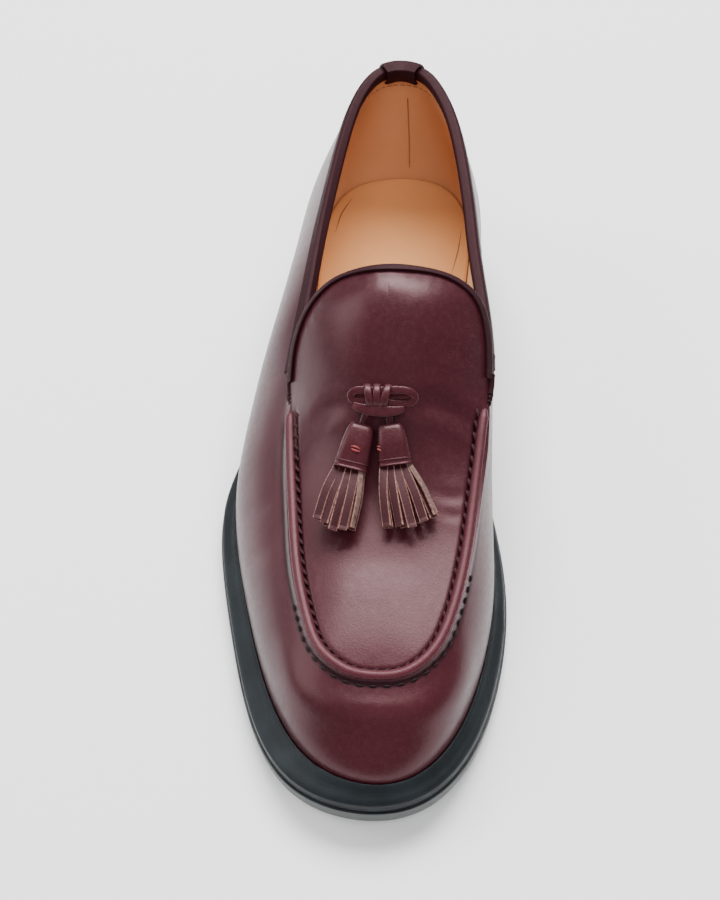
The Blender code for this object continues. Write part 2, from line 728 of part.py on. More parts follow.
def make_knot():
    """Fuse the knot's tubes into one body."""
    lift = KNOT_LIFT
    knot = tube("tassel_knot", [knot_point(across, -2.3, lift) for across in (-2.3, -1.7, 1.7, 2.3)],
                [WRAP_RADIUS * 0.8, WRAP_RADIUS, WRAP_RADIUS, WRAP_RADIUS * 0.8], sides=12)
    parts = [
        tube("outer_loop", loop_path((-3.5, -2.4, lift), 2.9, 1.5), THONG_RADIUS, closed=True),
        tube("inner_loop", loop_path((3.9, -2.5, lift), 3.3, 1.7), THONG_RADIUS, closed=True),
        tube("band", [knot_point(across, down, BAND_LIFT) for across, down in
                      ((-5.3, 0.4), (-2.3, 1.1), (1.7, 1.3), (5.7, 1.3))],
             [THONG_RADIUS * 1.1, THONG_RADIUS * 1.5, THONG_RADIUS * 1.5, THONG_RADIUS * 1.0]),
        tube("root", [knot_point(0.1, -2.3, 1.5 * GAP), knot_point(0.1, -2.25, lift)],
             THONG_RADIUS * 1.2),
    ]
    for part in parts:
        part.hide_render = True
        part.display_type = "WIRE"
        fuse = knot.modifiers.new("fuse_" + part.name, "BOOLEAN")
        fuse.operation = "UNION"
        fuse.solver = "EXACT"
        fuse.object = part
        part.hide_set(True)
    return knot


make_knot()


# Tassels: a leather cap rolled round the top, over a skirt of cut strips that fans out.
# Rings of the cap from its top. along: share of its length. width, thickness: shares of its own.
CapRing = namedtuple("CapRing", "along width thickness")
CAP_RINGS = (
    CapRing(0.00, 0.34, 0.36),
    CapRing(0.03, 0.78, 0.80),
    CapRing(0.30, 1.00, 1.00),
    CapRing(1.00, 1.00, 1.00),
)


def tassel_frame(path, share):
    """Place, down, across and outward directions at a share of the tassel's length."""
    at = np.linspace(0, 1, len(path))
    place = np.array([np.interp(share, at, path[:, axis]) for axis in range(3)])
    ahead = np.array([np.interp(min(share + 0.2, 1), at, path[:, axis]) for axis in range(3)])
    behind = np.array([np.interp(max(share - 0.2, 0), at, path[:, axis]) for axis in range(3)])
    down = unit(ahead - behind)
    across = unit(np.cross(down, UP))
    return place, across, np.cross(across, down)


def smooth_path(points, steps=17):
    points = np.asarray(points)
    rows = np.concatenate([[0], np.cumsum(np.linalg.norm(np.diff(points, axis=0), axis=1))])
    at = np.linspace(0, rows[-1], steps)
    return np.stack([open_curve(rows, points[:, axis], at) for axis in range(3)], 1)


def make_tassel(name, path, skirt_width, strip_ends):
    """Stem, cap and skirt along a path of places: under the band, cap's top, cap, skirt's end."""
    stem = np.linalg.norm(path[1] - path[0])
    path = smooth_path(path)
    length = np.sum(np.linalg.norm(np.diff(path, axis=0), axis=1))
    cap_start = stem / length
    cap_end = cap_start + CAP_LENGTH / length
    lines = np.linspace(-1, 1, STRIP_COLUMNS + 1)
    bulge = np.sqrt(1 - (0.9 * lines) ** 2)
    points, faces = [], []

    def section(share, width, thickness):
        place, across, out = tassel_frame(path, share)
        front = [place + across * (line * width / 2) + out * (high * thickness / 2)
                 for line, high in zip(lines, bulge)]
        back = [place + across * (line * width / 2) - out * (high * thickness / 2)
                for line, high in zip(lines, bulge)]
        return [*front, place + across * width / 2, *back[::-1], place - across * width / 2]

    points += section(0.0, STEM_WIDTH, STEM_WIDTH)
    for ring in CAP_RINGS:
        width = CAP_TOP_WIDTH + (CAP_FOOT_WIDTH - CAP_TOP_WIDTH) * ring.along
        points += section(cap_start + (cap_end - cap_start) * ring.along, width * ring.width,
                          CAP_THICKNESS * ring.thickness)
    size = 2 * (STRIP_COLUMNS + 1) + 2
    loops = [list(range(level * size, (level + 1) * size)) for level in range(1 + len(CAP_RINGS))]
    faces.append(tuple(loops[0]))
    for here, following in zip(loops, loops[1:]):
        faces += bridge(here, following)

    foot = loops[-1]
    front = foot[:STRIP_COLUMNS + 1]
    back = foot[STRIP_COLUMNS + 2:-1][::-1]
    first_middle = len(points)
    place, across, out = tassel_frame(path, cap_end)
    points += [place + across * (line * CAP_FOOT_WIDTH / 2) for line in lines[1:-1]]
    middle = [foot[-1], *range(first_middle, len(points)), foot[STRIP_COLUMNS + 1]]

    for layer, edge in ((1, front), (-1, back)):
        for order in range(STRIP_COLUMNS):
            corners = [edge[order], edge[order + 1], middle[order + 1], middle[order]]
            centre = np.mean([points[number] for number in corners], axis=0)
            ring = len(points)
            points += [centre + 0.86 * (points[number] - centre) for number in corners]
            loop = list(range(ring, ring + 4))
            faces += bridge(corners, loop)
            line = 0.5 * (lines[order] + lines[order + 1])
            end = strip_ends[(order + (2 if layer < 0 else 0)) % STRIP_COLUMNS]
            for share in (0.35, 0.7, 1.0):
                place, across, out = tassel_frame(path, cap_end + (end - cap_end) * share)
                width = CAP_FOOT_WIDTH + (skirt_width - CAP_FOOT_WIDTH) * share
                high = layer * (0.25 * CAP_THICKNESS + 0.10 * STRIP_LEATHER * share)
                heart = place + across * (line * width / 2) + out * high
                half = 0.5 * min(STRIP_WIDTH, STRIP_FILL * width / STRIP_COLUMNS)
                depth = 0.5 * STRIP_LEATHER * (1.6 - 0.6 * share)
                ring = len(points)
                for side, face in ((-1, layer), (1, layer), (1, -layer), (-1, -layer)):
                    points.append(heart + across * side * half + out * face * depth)
                following = list(range(ring, ring + 4))
                faces += bridge(loop, following)
                loop = following
            faces.append(tuple(loop))
    return solid(name, np.array(points), faces, LEATHER, 0.36)


# Places along each tassel: the stem's top in thong radii, then shares across and along the shoe.
make_tassel("tassel_lateral",
            [knot_point(-2.1, STEM_TOP, BAND_LIFT), on_skin(-0.09, 0.613, CAP_LIFT),
             on_skin(-0.16, 0.655, FOOT_LIFT), on_skin(-0.25, 0.716, SKIRT_LIFT)],
            LATERAL_SKIRT_WIDTH, (0.97, 1.0, 0.985, 0.96, 0.99))
make_tassel("tassel_medial",
            [knot_point(2.3, STEM_TOP, BAND_LIFT), on_skin(0.10, 0.613, CAP_LIFT),
             on_skin(0.15, 0.655, FOOT_LIFT), on_skin(0.27, 0.712, SKIRT_LIFT)],
            MEDIAL_SKIRT_WIDTH, (1.0, 0.975, 0.99, 1.0, 0.965))
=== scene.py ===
"""A man's tassel loafer, right foot, in polished burgundy calf on a welted rubber sole."""
import math
import bpy
import bmesh
import numpy as np
from mathutils import Matrix, Vector
from mathutils.bvhtree import BVHTree


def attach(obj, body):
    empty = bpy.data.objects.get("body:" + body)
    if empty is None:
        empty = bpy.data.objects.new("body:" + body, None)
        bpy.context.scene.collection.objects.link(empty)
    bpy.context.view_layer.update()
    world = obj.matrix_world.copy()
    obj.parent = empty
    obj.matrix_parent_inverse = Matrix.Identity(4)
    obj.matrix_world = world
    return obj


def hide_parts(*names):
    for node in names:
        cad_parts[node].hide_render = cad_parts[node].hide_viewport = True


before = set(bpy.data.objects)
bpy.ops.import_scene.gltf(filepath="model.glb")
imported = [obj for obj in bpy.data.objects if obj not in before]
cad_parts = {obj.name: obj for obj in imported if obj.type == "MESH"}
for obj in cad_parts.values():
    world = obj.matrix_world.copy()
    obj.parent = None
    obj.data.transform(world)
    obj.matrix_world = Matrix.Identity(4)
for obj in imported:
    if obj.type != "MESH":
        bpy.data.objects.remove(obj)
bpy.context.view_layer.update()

# The camera stands in front of the toe and above it, turned and rolled as it
# was for the photo, with a long lens that frames the one shoe.
EYE = Vector((0.0460, -0.4658, 0.5575))
AIM = Vector((-0.0021, -0.0089, 0.0300))
ROLL = math.radians(-2.89)
LENS = 76.9
forward = (AIM - EYE).normalized()
level = forward.cross(Vector((0, 0, 1))).normalized()
rise = level.cross(forward)
across = level * math.cos(ROLL) + rise * math.sin(ROLL)
above = across.cross(forward)
lens = bpy.data.cameras.new("camera")
lens.lens = LENS
lens.sensor_width = 36.0
lens.clip_start = 0.01
camera = bpy.data.objects.new("camera", lens)
turned = Matrix((across, above, -forward)).transposed().to_4x4()
camera.matrix_world = Matrix.Translation(EYE) @ turned
bpy.context.scene.collection.objects.link(camera)
bpy.context.scene.camera = camera


# The floor is a wide sheet of white paper board. Its fine tooth takes any
# shine off it, so that it shows only the shoe's soft shadow.
FLOOR_SIZE = 14.0
PAPER = "#fafafa"
PAPER_SHADE = "#f5f5f6"
SHADE_MM = 400.0
# the real tooth is about 0.1 mm apart and too fine to show, so it is drawn coarser
TOOTH_MM = 1.11


def colour(text):
    """A colour written as an sRGB hex value, as the linear one that shaders take."""
    parts = [int(text[i:i + 2], 16) / 255 for i in (1, 3, 5)]
    linear = [p / 12.92 if p <= 0.04045 else ((p + 0.055) / 1.055) ** 2.4 for p in parts]
    return (*linear, 1.0)


def surface(name, **values):
    """A new material with these values on its shader. Returns the material, its tree and the shader."""
    made = bpy.data.materials.new(name)
    made.use_nodes = True
    shader = made.node_tree.nodes["Principled BSDF"]
    for socket, value in values.items():
        shader.inputs[socket.replace("_", " ")].default_value = value
    return made, made.node_tree, shader


def add(tree, kind, inputs=(), out=0, **settings):
    """Adds a node with its settings and returns one of its outputs. The inputs, by name or number or
    else in their order, each get a value or a link."""
    node = tree.nodes.new(kind)
    for name, value in settings.items():
        setattr(node, name, value)
    for name, value in (inputs.items() if isinstance(inputs, dict) else enumerate(inputs)):
        if isinstance(value, bpy.types.NodeSocket):
            tree.links.new(value, node.inputs[name])
        else:
            node.inputs[name].default_value = value
    return node.outputs[out]


def tinted(tree, shader, base, *layers):
    """Lays tones over a base colour. A layer holds its pattern, the pattern's low and high, the tone's
    share at each of them, and the tone."""
    shade = colour(base)
    for pattern, low, high, at_low, at_high, tone in layers:
        share = add(tree, "ShaderNodeMapRange", (pattern, low, high, at_low, at_high))
        shade = add(tree, "ShaderNodeMix", {0: share, 6: shade, 7: colour(tone)}, 2, data_type="RGBA")
    tree.links.new(shade, shader.inputs["Base Color"])


def finish(name, work, materials, slot, nodes=()):
    """Makes a piece of the shoe from a bmesh: smooth, riding on the root, for these CAD nodes."""
    mesh = bpy.data.meshes.new(name)
    for face in work.faces:
        face.smooth = True
    work.to_mesh(mesh)
    work.free()
    for material in materials:
        mesh.materials.append(material)
    made = bpy.data.objects.new(name, mesh)
    bpy.context.scene.collection.objects.link(made)
    if slot is None:
        return made
    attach(made, "root")
    if nodes:
        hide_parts(*nodes)
    return made


paper, tree, shader = surface("white paper board, matt", Roughness=0.85, IOR=1.45)
spot = add(tree, "ShaderNodeTexCoord", out="Object")
tooth = add(tree, "ShaderNodeTexNoise", {"Vector": spot, "Scale": 1000 / TOOTH_MM, "Detail": 3.0})
cloud = add(tree, "ShaderNodeTexNoise", {"Vector": spot, "Scale": 1000 / SHADE_MM, "Detail": 2.0})
tinted(tree, shader, PAPER, (cloud, 0.0, 1.0, 0.0, 1.0, PAPER_SHADE))
raised = add(tree, "ShaderNodeBump", {"Height": tooth, "Strength": 0.15, "Distance": 0.0002})
tree.links.new(raised, shader.inputs["Normal"])
work = bmesh.new()
bmesh.ops.create_grid(work, x_segments=12, y_segments=12, size=FLOOR_SIZE / 2)
finish("floor", work, [paper], None)


# A large soft box hangs over the shoe and a little behind it, and a weaker one
# stands at the outer side. A third fills the front and leaves no shine of its
# own, and a pale room lights the rest.
SOFT_BOXES = (
    # name, place, size, watts, whether it shows as a reflection
    ("top", (0.05, 0.74, 1.40), (1.25, 0.90), 62.0, True),
    ("outer_side", (-1.30, 0.10, 0.95), (0.8, 1.0), 10.0, True),
    ("front_fill", (0.20, -1.30, 1.60), (1.6, 1.2), 34.0, False),
)
ROOM = "#e6e7ea"
ROOM_STRENGTH = 0.35
for name, spot, size, watts, shows in SOFT_BOXES:
    light = bpy.data.lights.new(name, "AREA")
    light.shape = "RECTANGLE"
    light.size, light.size_y = size
    light.energy = watts
    lamp = bpy.data.objects.new(name, light)
    lamp.visible_glossy = shows
    lamp.location = spot
    lamp.rotation_euler = (Vector((0, 0, 0.03)) - Vector(spot)).to_track_quat("-Z", "Y").to_euler()
    bpy.context.scene.collection.objects.link(lamp)
room = bpy.data.worlds.new("pale room")
room.use_nodes = True
room.node_tree.nodes["Background"].inputs[0].default_value = colour(ROOM)
room.node_tree.nodes["Background"].inputs[1].default_value = ROOM_STRENGTH
bpy.context.scene.world = room


# The outsole is one moulding of black rubber with a low heel block under it.
# Mould release and light wear leave it dull, with fine lines round its sides.
RUBBER = "#1c2022"
RUBBER_LIGHT = "#2e3234"
RUBBER_SIDE = "#454947"
HEEL_SIDE = "#1f2426"
SOLE_EDGE = 0.0006
WRAP_STEPS = 144
# an edge that turns by more than this is rounded
SHARP = math.radians(34)
# the lines left by the mould are hair-fine, and are drawn 0.4 mm apart and 12 mm long so that they show
LINE_MM = 0.417
LINE_STRETCH = 0.035
PATCH_MM = 18.2


def refined(node, edge, levels=2):
    """A finer copy of a CAD node: its edges rounded and its facets drawn into smooth curves."""
    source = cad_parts[node]
    work = bmesh.new()
    work.from_mesh(source.data)
    work.transform(source.matrix_world)
    bmesh.ops.remove_doubles(work, verts=work.verts, dist=1e-5)
    bmesh.ops.join_triangles(work, faces=work.faces, angle_face_threshold=math.radians(24),
                             angle_shape_threshold=math.radians(75))
    bmesh.ops.recalc_face_normals(work, faces=work.faces)
    mesh = bpy.data.meshes.new(node + " rough")
    work.to_mesh(mesh)
    rough = bpy.data.objects.new(node + " rough", mesh)
    bpy.context.scene.collection.objects.link(rough)
    round_off = rough.modifiers.new("round", "BEVEL")
    round_off.width = edge
    round_off.segments = 2
    round_off.limit_method = "ANGLE"
    round_off.angle_limit = SHARP
    round_off.use_clamp_overlap = True
    finer = rough.modifiers.new("finer", "SUBSURF")
    finer.levels = finer.render_levels = levels
    ready = rough.evaluated_get(bpy.context.evaluated_depsgraph_get())
    work.clear()
    work.from_mesh(ready.to_mesh())
    bpy.data.objects.remove(rough)
    return work


def outline_of(node):
    """The node's outline from above, as points a few millimetres apart."""
    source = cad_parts[node]
    points = np.array([(source.matrix_world @ v.co)[:2] for v in source.data.vertices])
    turn = np.arctan2(points[:, 1], points[:, 0])
    far = np.hypot(points[:, 0], points[:, 1])
    angles = np.linspace(-math.pi, math.pi, WRAP_STEPS, endpoint=False)
    reach = np.zeros(WRAP_STEPS)
    for i, angle in enumerate(angles):
        near = np.abs((turn - angle + math.pi) % (2 * math.pi) - math.pi) < 2.2 * math.pi / WRAP_STEPS
        reach[i] = far[near].max() if near.any() else 0
    held = reach > 0
    reach = np.interp(angles, angles[held], reach[held], period=2 * math.pi)
    return np.stack([reach * np.cos(angles), reach * np.sin(angles)], 1)


def nearest_on(path, points):
    """For each point, how far it is from the path, and how far along the path that is."""
    best = np.full(len(points), 1e9)
    along = np.zeros(len(points))
    start = 0.0
    for a, b in zip(path[:-1], path[1:]):
        step = b - a
        long = float(np.linalg.norm(step))
        if long < 1e-9:
            continue
        share = np.clip((points - a) @ step / long ** 2, 0, 1)
        away = np.linalg.norm(points - a - share[:, None] * step, axis=1)
        closer = away < best
        best = np.where(closer, away, best)
        along = np.where(closer, start + share * long, along)
        start += long
    return best, along


rim = outline_of("outsole")
rim = np.vstack([rim, rim[:1]])


def give(made, name, values):
    """Stores one number a vertex on the piece, for its material to read."""
    made.data.attributes.new(name, "FLOAT", "POINT").data.foreach_set("value", values.astype(np.float32))


def corners(made):
    """The piece's points, in metres."""
    points = np.zeros(len(made.data.vertices) * 3)
    made.data.vertices.foreach_get("co", points)
    return points.reshape(-1, 3)


def wrap(made):
    """Stores how far round the sole and how far in from its edge each point is."""
    points = corners(made)
    inward, round_it = nearest_on(rim, points[:, :2])
    give(made, "round", round_it)
    give(made, "inward", inward)


def rubber(name, dark, light, side, rough, gloss, streak):
    """Moulded rubber: fine lines run round it, and its colour is paler where a side stands upright."""
    made, tree, shader = surface(name, IOR=1.5, Specular_IOR_Level=gloss)
    around = add(tree, "ShaderNodeAttribute", out="Fac", attribute_name="round")
    inward = add(tree, "ShaderNodeAttribute", out="Fac", attribute_name="inward")
    spot = add(tree, "ShaderNodeTexCoord", out="Object")
    height = add(tree, "ShaderNodeSeparateXYZ", (spot,), "Z")
    grain = add(tree, "ShaderNodeCombineXYZ", (around, inward, height))
    drawn = add(tree, "ShaderNodeVectorMath", (grain, (LINE_STRETCH, 1.0, 1.0)), operation="MULTIPLY")
    lines = add(tree, "ShaderNodeTexNoise", {"Vector": drawn, "Scale": 1000 / LINE_MM, "Detail": 2.0})
    patches = add(tree, "ShaderNodeTexNoise", {"Vector": spot, "Scale": 1000 / PATCH_MM, "Detail": 4.0})
    facing = add(tree, "ShaderNodeSeparateXYZ", (add(tree, "ShaderNodeNewGeometry", out="Normal"),), "Z")
    tinted(tree, shader, dark, (patches, 0.35, 0.7, 0.0, 1.0, light), (facing, 0.35, 0.75, 1.0, 0.0, side))
    dulled = add(tree, "ShaderNodeMapRange", (lines, 0.3, 0.7, rough - 0.1, rough + 0.12))
    tree.links.new(dulled, shader.inputs["Roughness"])
    raised = add(tree, "ShaderNodeBump", {"Height": lines, "Strength": streak, "Distance": 0.0002})
    tree.links.new(raised, shader.inputs["Normal"])
    return made


sole_rubber = rubber("sole rubber, moulded, paler on upright sides", RUBBER, RUBBER_LIGHT, RUBBER_SIDE, 0.55, 0.45, 0.35)
heel_rubber = rubber("heel rubber, moulded", RUBBER, RUBBER_LIGHT, HEEL_SIDE, 0.45, 0.4, 0.3)
wrap(finish("outsole_rubber", refined("outsole", SOLE_EDGE), [sole_rubber], "outsole", ["outsole"]))
wrap(finish("heel_rubber", refined("heel", SOLE_EDGE), [heel_rubber], "heel", ["heel"]))


# The welt is a slate-coloured rubber strip round the top of the sole. Its
# smooth face stands out past the upper, and is stitched down from inside.
WELT_DARK = "#101417"
WELT_LIGHT = "#1b2125"
WELT_SIDE = "#14191c"
WELT_EDGE = 0.0008
welt_rubber = rubber("welt rubber, smooth and waxed", WELT_DARK, WELT_LIGHT, WELT_SIDE, 0.5, 0.22, 0.30)
wrap(finish("welt_strip", refined("welt", WELT_EDGE), [welt_rubber], "welt", ["welt"]))


# The insole is the tan leather sock that lines the bottom of the shoe. It is
# vegetable-tanned, only lightly finished, and a little paler at the heel.
TAN = "#d49056"
TAN_LIGHT = "#de9d62"
TAN_HEEL = "#dba06c"
BLOTCH_MM = 23.8
# real pores are under 0.3 mm apart, and are drawn coarser so that they still take the shine off
TAN_PORE_MM = 0.87


def tan_leather(name, rough, tan, light, heel_tone, heel_tone_from, heel_tone_to):
    """Tan lining leather, matt and a little blotchy, with open pores and another tone toward the heel."""
    made, tree, shader = surface(name, IOR=1.45, Specular_IOR_Level=0.15)
    spot = add(tree, "ShaderNodeTexCoord", out="Object")
    blotch = add(tree, "ShaderNodeTexNoise", {"Vector": spot, "Scale": 1000 / BLOTCH_MM, "Detail": 5.0,
                                              "Roughness": 0.6})
    pores = add(tree, "ShaderNodeTexVoronoi", {"Vector": spot, "Scale": 1000 / TAN_PORE_MM}, "Distance")
    back = add(tree, "ShaderNodeSeparateXYZ", (spot,), "Y")
    # another tone is laid over the heel end: darker on the lining, paler on the sock
    tinted(tree, shader, tan, (blotch, 0.3, 0.7, 0.0, 1.0, light),
           (back, heel_tone_from, heel_tone_to, 0.0, 0.75, heel_tone))
    dulled = add(tree, "ShaderNodeMapRange", (blotch, 0.3, 0.7, rough - 0.08, rough + 0.1))
    tree.links.new(dulled, shader.inputs["Roughness"])
    raised = add(tree, "ShaderNodeBump", {"Height": pores, "Strength": 0.25, "Distance": 0.00015})
    tree.links.new(raised, shader.inputs["Normal"])
    return made


sock_leather = tan_leather("tan sock leather, vegetable tanned", 0.6, TAN, TAN_LIGHT, TAN_HEEL, 0.05, 0.14)
finish("insole_sock", refined("insole", 0.0005, 1), [sock_leather], "insole", ["insole"])


# The upper is burgundy calf about 1.5 mm thick, lasted over the foot's shape,
# aniline-dyed and polished with wax. It creases softly where the foot bends.
DARK_CALF = "#280e15"
CALF = "#3c161d"
BRIGHT_CALF = "#4f262d"
# the colour of the painted shade in the seam's groove and foot, and of the slits under the knot
SHADE_AND_SLIT_DARK = "#14060a"
SHEEN = "#ffd0d4"
CLOUD_MM = 45.5
FLECK_MM = 1.92
DIMPLE_MM = 6.67
# where the back end of the sole and the heel's middle line lie, in metres
HEEL_BACK = 0.150
MIDDLE = 0.00626
# the leather in front of here is drawn finer
FRONT_FROM = 0.030
CREASES = (
    # depth, half width and line of each crease, in mm: across, along
    (0.90, 3.2, ((12.5, 174.5), (20, 172.5), (28, 173.5), (35, 176))),
    (0.30, 2.8, ((17, 160), (24, 156.5), (31, 158))),
    (0.42, 2.8, ((-10.0, 174), (-17, 172), (-24, 174))),
    (0.15, 1.9, ((19, 198), (24, 200), (29, 199.5), (33.0, 196))),
    (0.09, 1.7, ((23, 205), (27, 206.5), (31, 205))),
    (0.10, 5.0, ((-22, 229), (-10, 226), (6, 225), (20, 228))),
    (0.20, 3.5, ((-36, 196), (-42, 193), (-48, 188))),
    (0.16, 3.5, ((-35, 214), (-41, 212), (-46, 208))),
    (0.20, 3.0, ((39.5, 190), (42, 192), (44, 196))),
)
# faint puckers run from the binding at the tongue's edge
TONGUE_EDGE = ((-32.3, 147.0, 65.0), (-28.5, 138.5, 77.0), (-17.0, 131.5, 89.5), (2.0, 133.0, 97.8),
               (22.0, 131.5, 93.0), (34.5, 136.5, 84.5), (38.0, 149.0, 73.5))
PUCKER_PITCH = 4.6
PUCKER_LENGTH = 9.0
PUCKER_HALF = 1.6
PUCKER_DEPTH = 0.10
# the seam's line, and the groove inside it, its outer foot and the toe's swell, as offsets toward the plug
SEAM_LINE = ((-33.2, 162, 52.5), (-32.6, 172, 50.2), (-30.5, 192, 45.6), (-26.5, 222, 43.8),
             (-21.5, 243, 42.8), (-15.8, 257, 42.2), (-6, 265.3, 41.6), (5, 267, 41.2),
             (15.5, 264.6, 41.6), (24, 256, 42.8), (29.3, 242, 45.0), (33.2, 220, 48.6),
             (35.8, 192, 54.8), (37.2, 174, 60.0), (37.9, 167, 62.0))
SIDES_END = 246.0
GROOVE_OFFSET = 3.1
GROOVE_HALF = 1.0
GROOVE_DEPTH = 0.75
FOOT_OFFSET = -1.4
FOOT_HALF = 1.3
FOOT_DEPTH = 0.25
TOE_SWELL_OFFSET = -9.0
TOE_SWELL_HALF = 7.0
TOE_SWELL = 2.0
TOE_SWELL_FROM = 242.0
TOE_SWELL_RUN = 32.0
PLUG_MIDDLE = (2.0, 205.0)
# across, along and half width of the spots painted dark under the knot: the slits where the thong goes
# through the plug, with painted shade round them and inside the loops
SLITS_AND_KNOT_SHADE = ((-3.6, 181.8, 3.4), (4.4, 181.6, 3.4), (-5.0, 176.4, 2.4), (6.8, 177.0, 2.8))


def place(x, s, z):
    """A spot on the shoe, in mm across to the inner side, along from the heel's back and up, as metres."""
    return Vector((x / 1000 + MIDDLE, HEEL_BACK - s / 1000, z / 1000))


def smooth_line(points, count):
    """Points evenly spaced along a smooth curve through the given ones."""
    points = np.array(points, float)
    ghost = np.vstack([2 * points[0] - points[1], points, 2 * points[-1] - points[-2]])
    found = []
    for i in range(1, len(ghost) - 2):
        a, b, c, d = ghost[i - 1:i + 3]
        for t in np.linspace(0, 1, 16, endpoint=False):
            found.append(0.5 * (2 * b + (c - a) * t + (2 * a - 5 * b + 4 * c - d) * t ** 2
                                + (3 * b - a - 3 * c + d) * t ** 3))
    found = np.array(found + [points[-1]])
    run = np.concatenate([[0], np.cumsum(np.linalg.norm(np.diff(found, axis=0), axis=1))])
    even = np.linspace(0, run[-1], count)
    return np.stack([np.interp(even, run, found[:, k]) for k in range(found.shape[1])], 1)


def placed(points, count, where=place):
    """A smooth line through points given in mm, as places in metres."""
    return [where(*p) for p in smooth_line(points, count)]


upper_work = refined("upper", 0.0004)
upper_work.normal_update()
# a line through the room for the foot tells the leather's inner side from its outer one
CAVITY = ((0, 50, 45), (0, 130, 50), (-5, 220, 28), (2, 262, 24))
inside_line = np.array([place(*p) for p in CAVITY])
centres = np.array([f.calc_center_median() for f in upper_work.faces])
normals = np.array([f.normal for f in upper_work.faces])


def closest_on(path, points):
    """The nearest spot on the path to each point."""
    best = np.full(len(points), 1e9)
    found = np.zeros_like(points)
    for a, b in zip(path[:-1], path[1:]):
        step = b - a
        share = np.clip((points - a) @ step / (step @ step), 0, 1)
        there = a + share[:, None] * step
        away = np.linalg.norm(points - there, axis=1)
        closer = away < best
        best = np.where(closer, away, best)
        found[closer] = there[closer]
    return found


inner_side = ((closest_on(inside_line, centres) - centres) * normals).sum(1) > 0
outer_tree = BVHTree.FromBMesh(upper_work)


def on_upper(x, s):
    """The spot of the upper that is seen from straight above this place, and its normal."""
    hit = outer_tree.ray_cast(place(x, s, 130), Vector((0, 0, -1)))
    return (hit[0], hit[1]) if hit[0] is not None else (place(x, s, 40), Vector((0, 0, 1)))


# the lining starts from the same faces, before the leather is creased
lining_work = upper_work.copy()
upper_work.faces.ensure_lookup_table()
front = [f for f, inner, c in zip(upper_work.faces, inner_side, centres) if not inner and c[1] < FRONT_FROM]
edges = list({e for f in front for e in f.edges})
bmesh.ops.subdivide_edges(upper_work, edges=edges, cuts=1, use_grid_fill=True)
upper_work.normal_update()
points = np.array([v.co for v in upper_work.verts])
ups = np.array([v.normal for v in upper_work.verts])
outward = ((points - closest_on(inside_line, points)) * ups).sum(1) > 0
shift = np.zeros(len(points))
for depth, half, line in CREASES:
    seated = np.array([on_upper(x, s)[0] for x, s in smooth_line(line, 9)])
    away, along = nearest_on(seated, points)
    away, along = away * 1000, along / along.max()
    fade = np.sin(np.pi * np.clip(along, 0.02, 0.98)) ** 0.7
    trough = -np.exp(-(away / half) ** 2) + 0.5 * np.exp(-((away - 2.1 * half) / half) ** 2)
    shift += depth * fade * trough
edge_line = smooth_line(TONGUE_EDGE, 40)
edge_run = np.concatenate([[0], np.cumsum(np.linalg.norm(np.diff(edge_line, axis=0), axis=1))])
for run in np.arange(12.0, edge_run[-1] - 10, PUCKER_PITCH):
    near = np.array([np.interp(run, edge_run, edge_line[:, k]) for k in range(3)])
    x, s = near[0] * 1.02, near[1] + 2.0
    shares = np.linspace(0, 1, 5)
    seated = np.array([on_upper(x * (1 - 0.05 * t), s + PUCKER_LENGTH * t)[0] for t in shares])
    away, along = nearest_on(seated, points)
    away, along = away * 1000, along / along.max()
    shift -= PUCKER_DEPTH * (1 - along) * np.exp(-(away / PUCKER_HALF) ** 2)

# the leather sinks in a groove inside the seam, and a little at its outer foot
seam = smooth_line(SEAM_LINE, 420)
seam_run = np.concatenate([[0], np.cumsum(np.linalg.norm(np.diff(seam, axis=0), axis=1))])
flat = np.gradient(seam[:, :2], axis=0)
flat /= np.linalg.norm(flat, axis=1)[:, None]
inward = np.stack([-flat[:, 1], flat[:, 0]], 1)
inward *= np.sign((inward * (np.array(PLUG_MIDDLE) - seam[:, :2])).sum(1))[:, None]


def beside_seam(offset, lift=0.0):
    """The seam's line moved toward the plug and up by so many mm, seated on the leather, and its normals."""
    spots, ups = [], []
    for (x, s, z), (dx, ds) in zip(seam, inward):
        spot, normal = on_upper(x + dx * offset, s + ds * offset)
        if offset < 0:
            # the wall is steep at the sides, where a spot lower down stands for one farther out
            lower = place(x + 0.6 * dx * offset, s + 0.6 * ds * offset, z + 0.8 * offset)
            beside, beside_normal = outer_tree.find_nearest(lower)[:2]
            share = min(max((s - SIDES_END) / 12, 0), 1)
            spot = beside.lerp(spot, share)
            normal = beside_normal.lerp(normal, share).normalized()
        spots.append(spot + normal * lift / 1000)
        ups.append(normal)
    return np.array(spots), np.array(ups)


# painted shade: the groove inside the seam and the seam's outer foot are darkened in the colour, as well as
# sunk
dark = np.zeros(len(points))
for offset, half, depth in ((GROOVE_OFFSET, GROOVE_HALF, GROOVE_DEPTH), (FOOT_OFFSET, FOOT_HALF, FOOT_DEPTH)):
    away, along = nearest_on(beside_seam(offset)[0][::3], points)
    end_fade = np.clip(np.minimum(along, along.max() - along) * 1000 / 6, 0, 1)
    near = np.exp(-(away * 1000 / half) ** 2) * end_fade
    shift -= depth * near
    dark = np.maximum(dark, near)
# the spots under the knot are painted dark: the slits where the thong goes through, and painted shade round
# them and inside the loops
for x, s, half in SLITS_AND_KNOT_SHADE:
    away = np.linalg.norm(points - np.array(on_upper(x, s)[0]), axis=1) * 1000
    dark = np.maximum(dark, 0.9 * np.exp(-(away / half) ** 2))

# in front of the seam the toe's leather swells before it falls to the welt
away = nearest_on(beside_seam(TOE_SWELL_OFFSET)[0][::3], points)[0]
at_toe = np.clip(((HEEL_BACK - points[:, 1]) * 1000 - TOE_SWELL_FROM) / TOE_SWELL_RUN, 0, 1) ** 1.5
shift += TOE_SWELL * at_toe * np.exp(-(away * 1000 / TOE_SWELL_HALF) ** 2)
shift = np.where(outward, shift, 0) / 1000
points = points + ups * shift[:, None]
for vert, spot in zip(upper_work.verts, points):
    vert.co = spot
creased_tree = BVHTree.FromBMesh(upper_work)


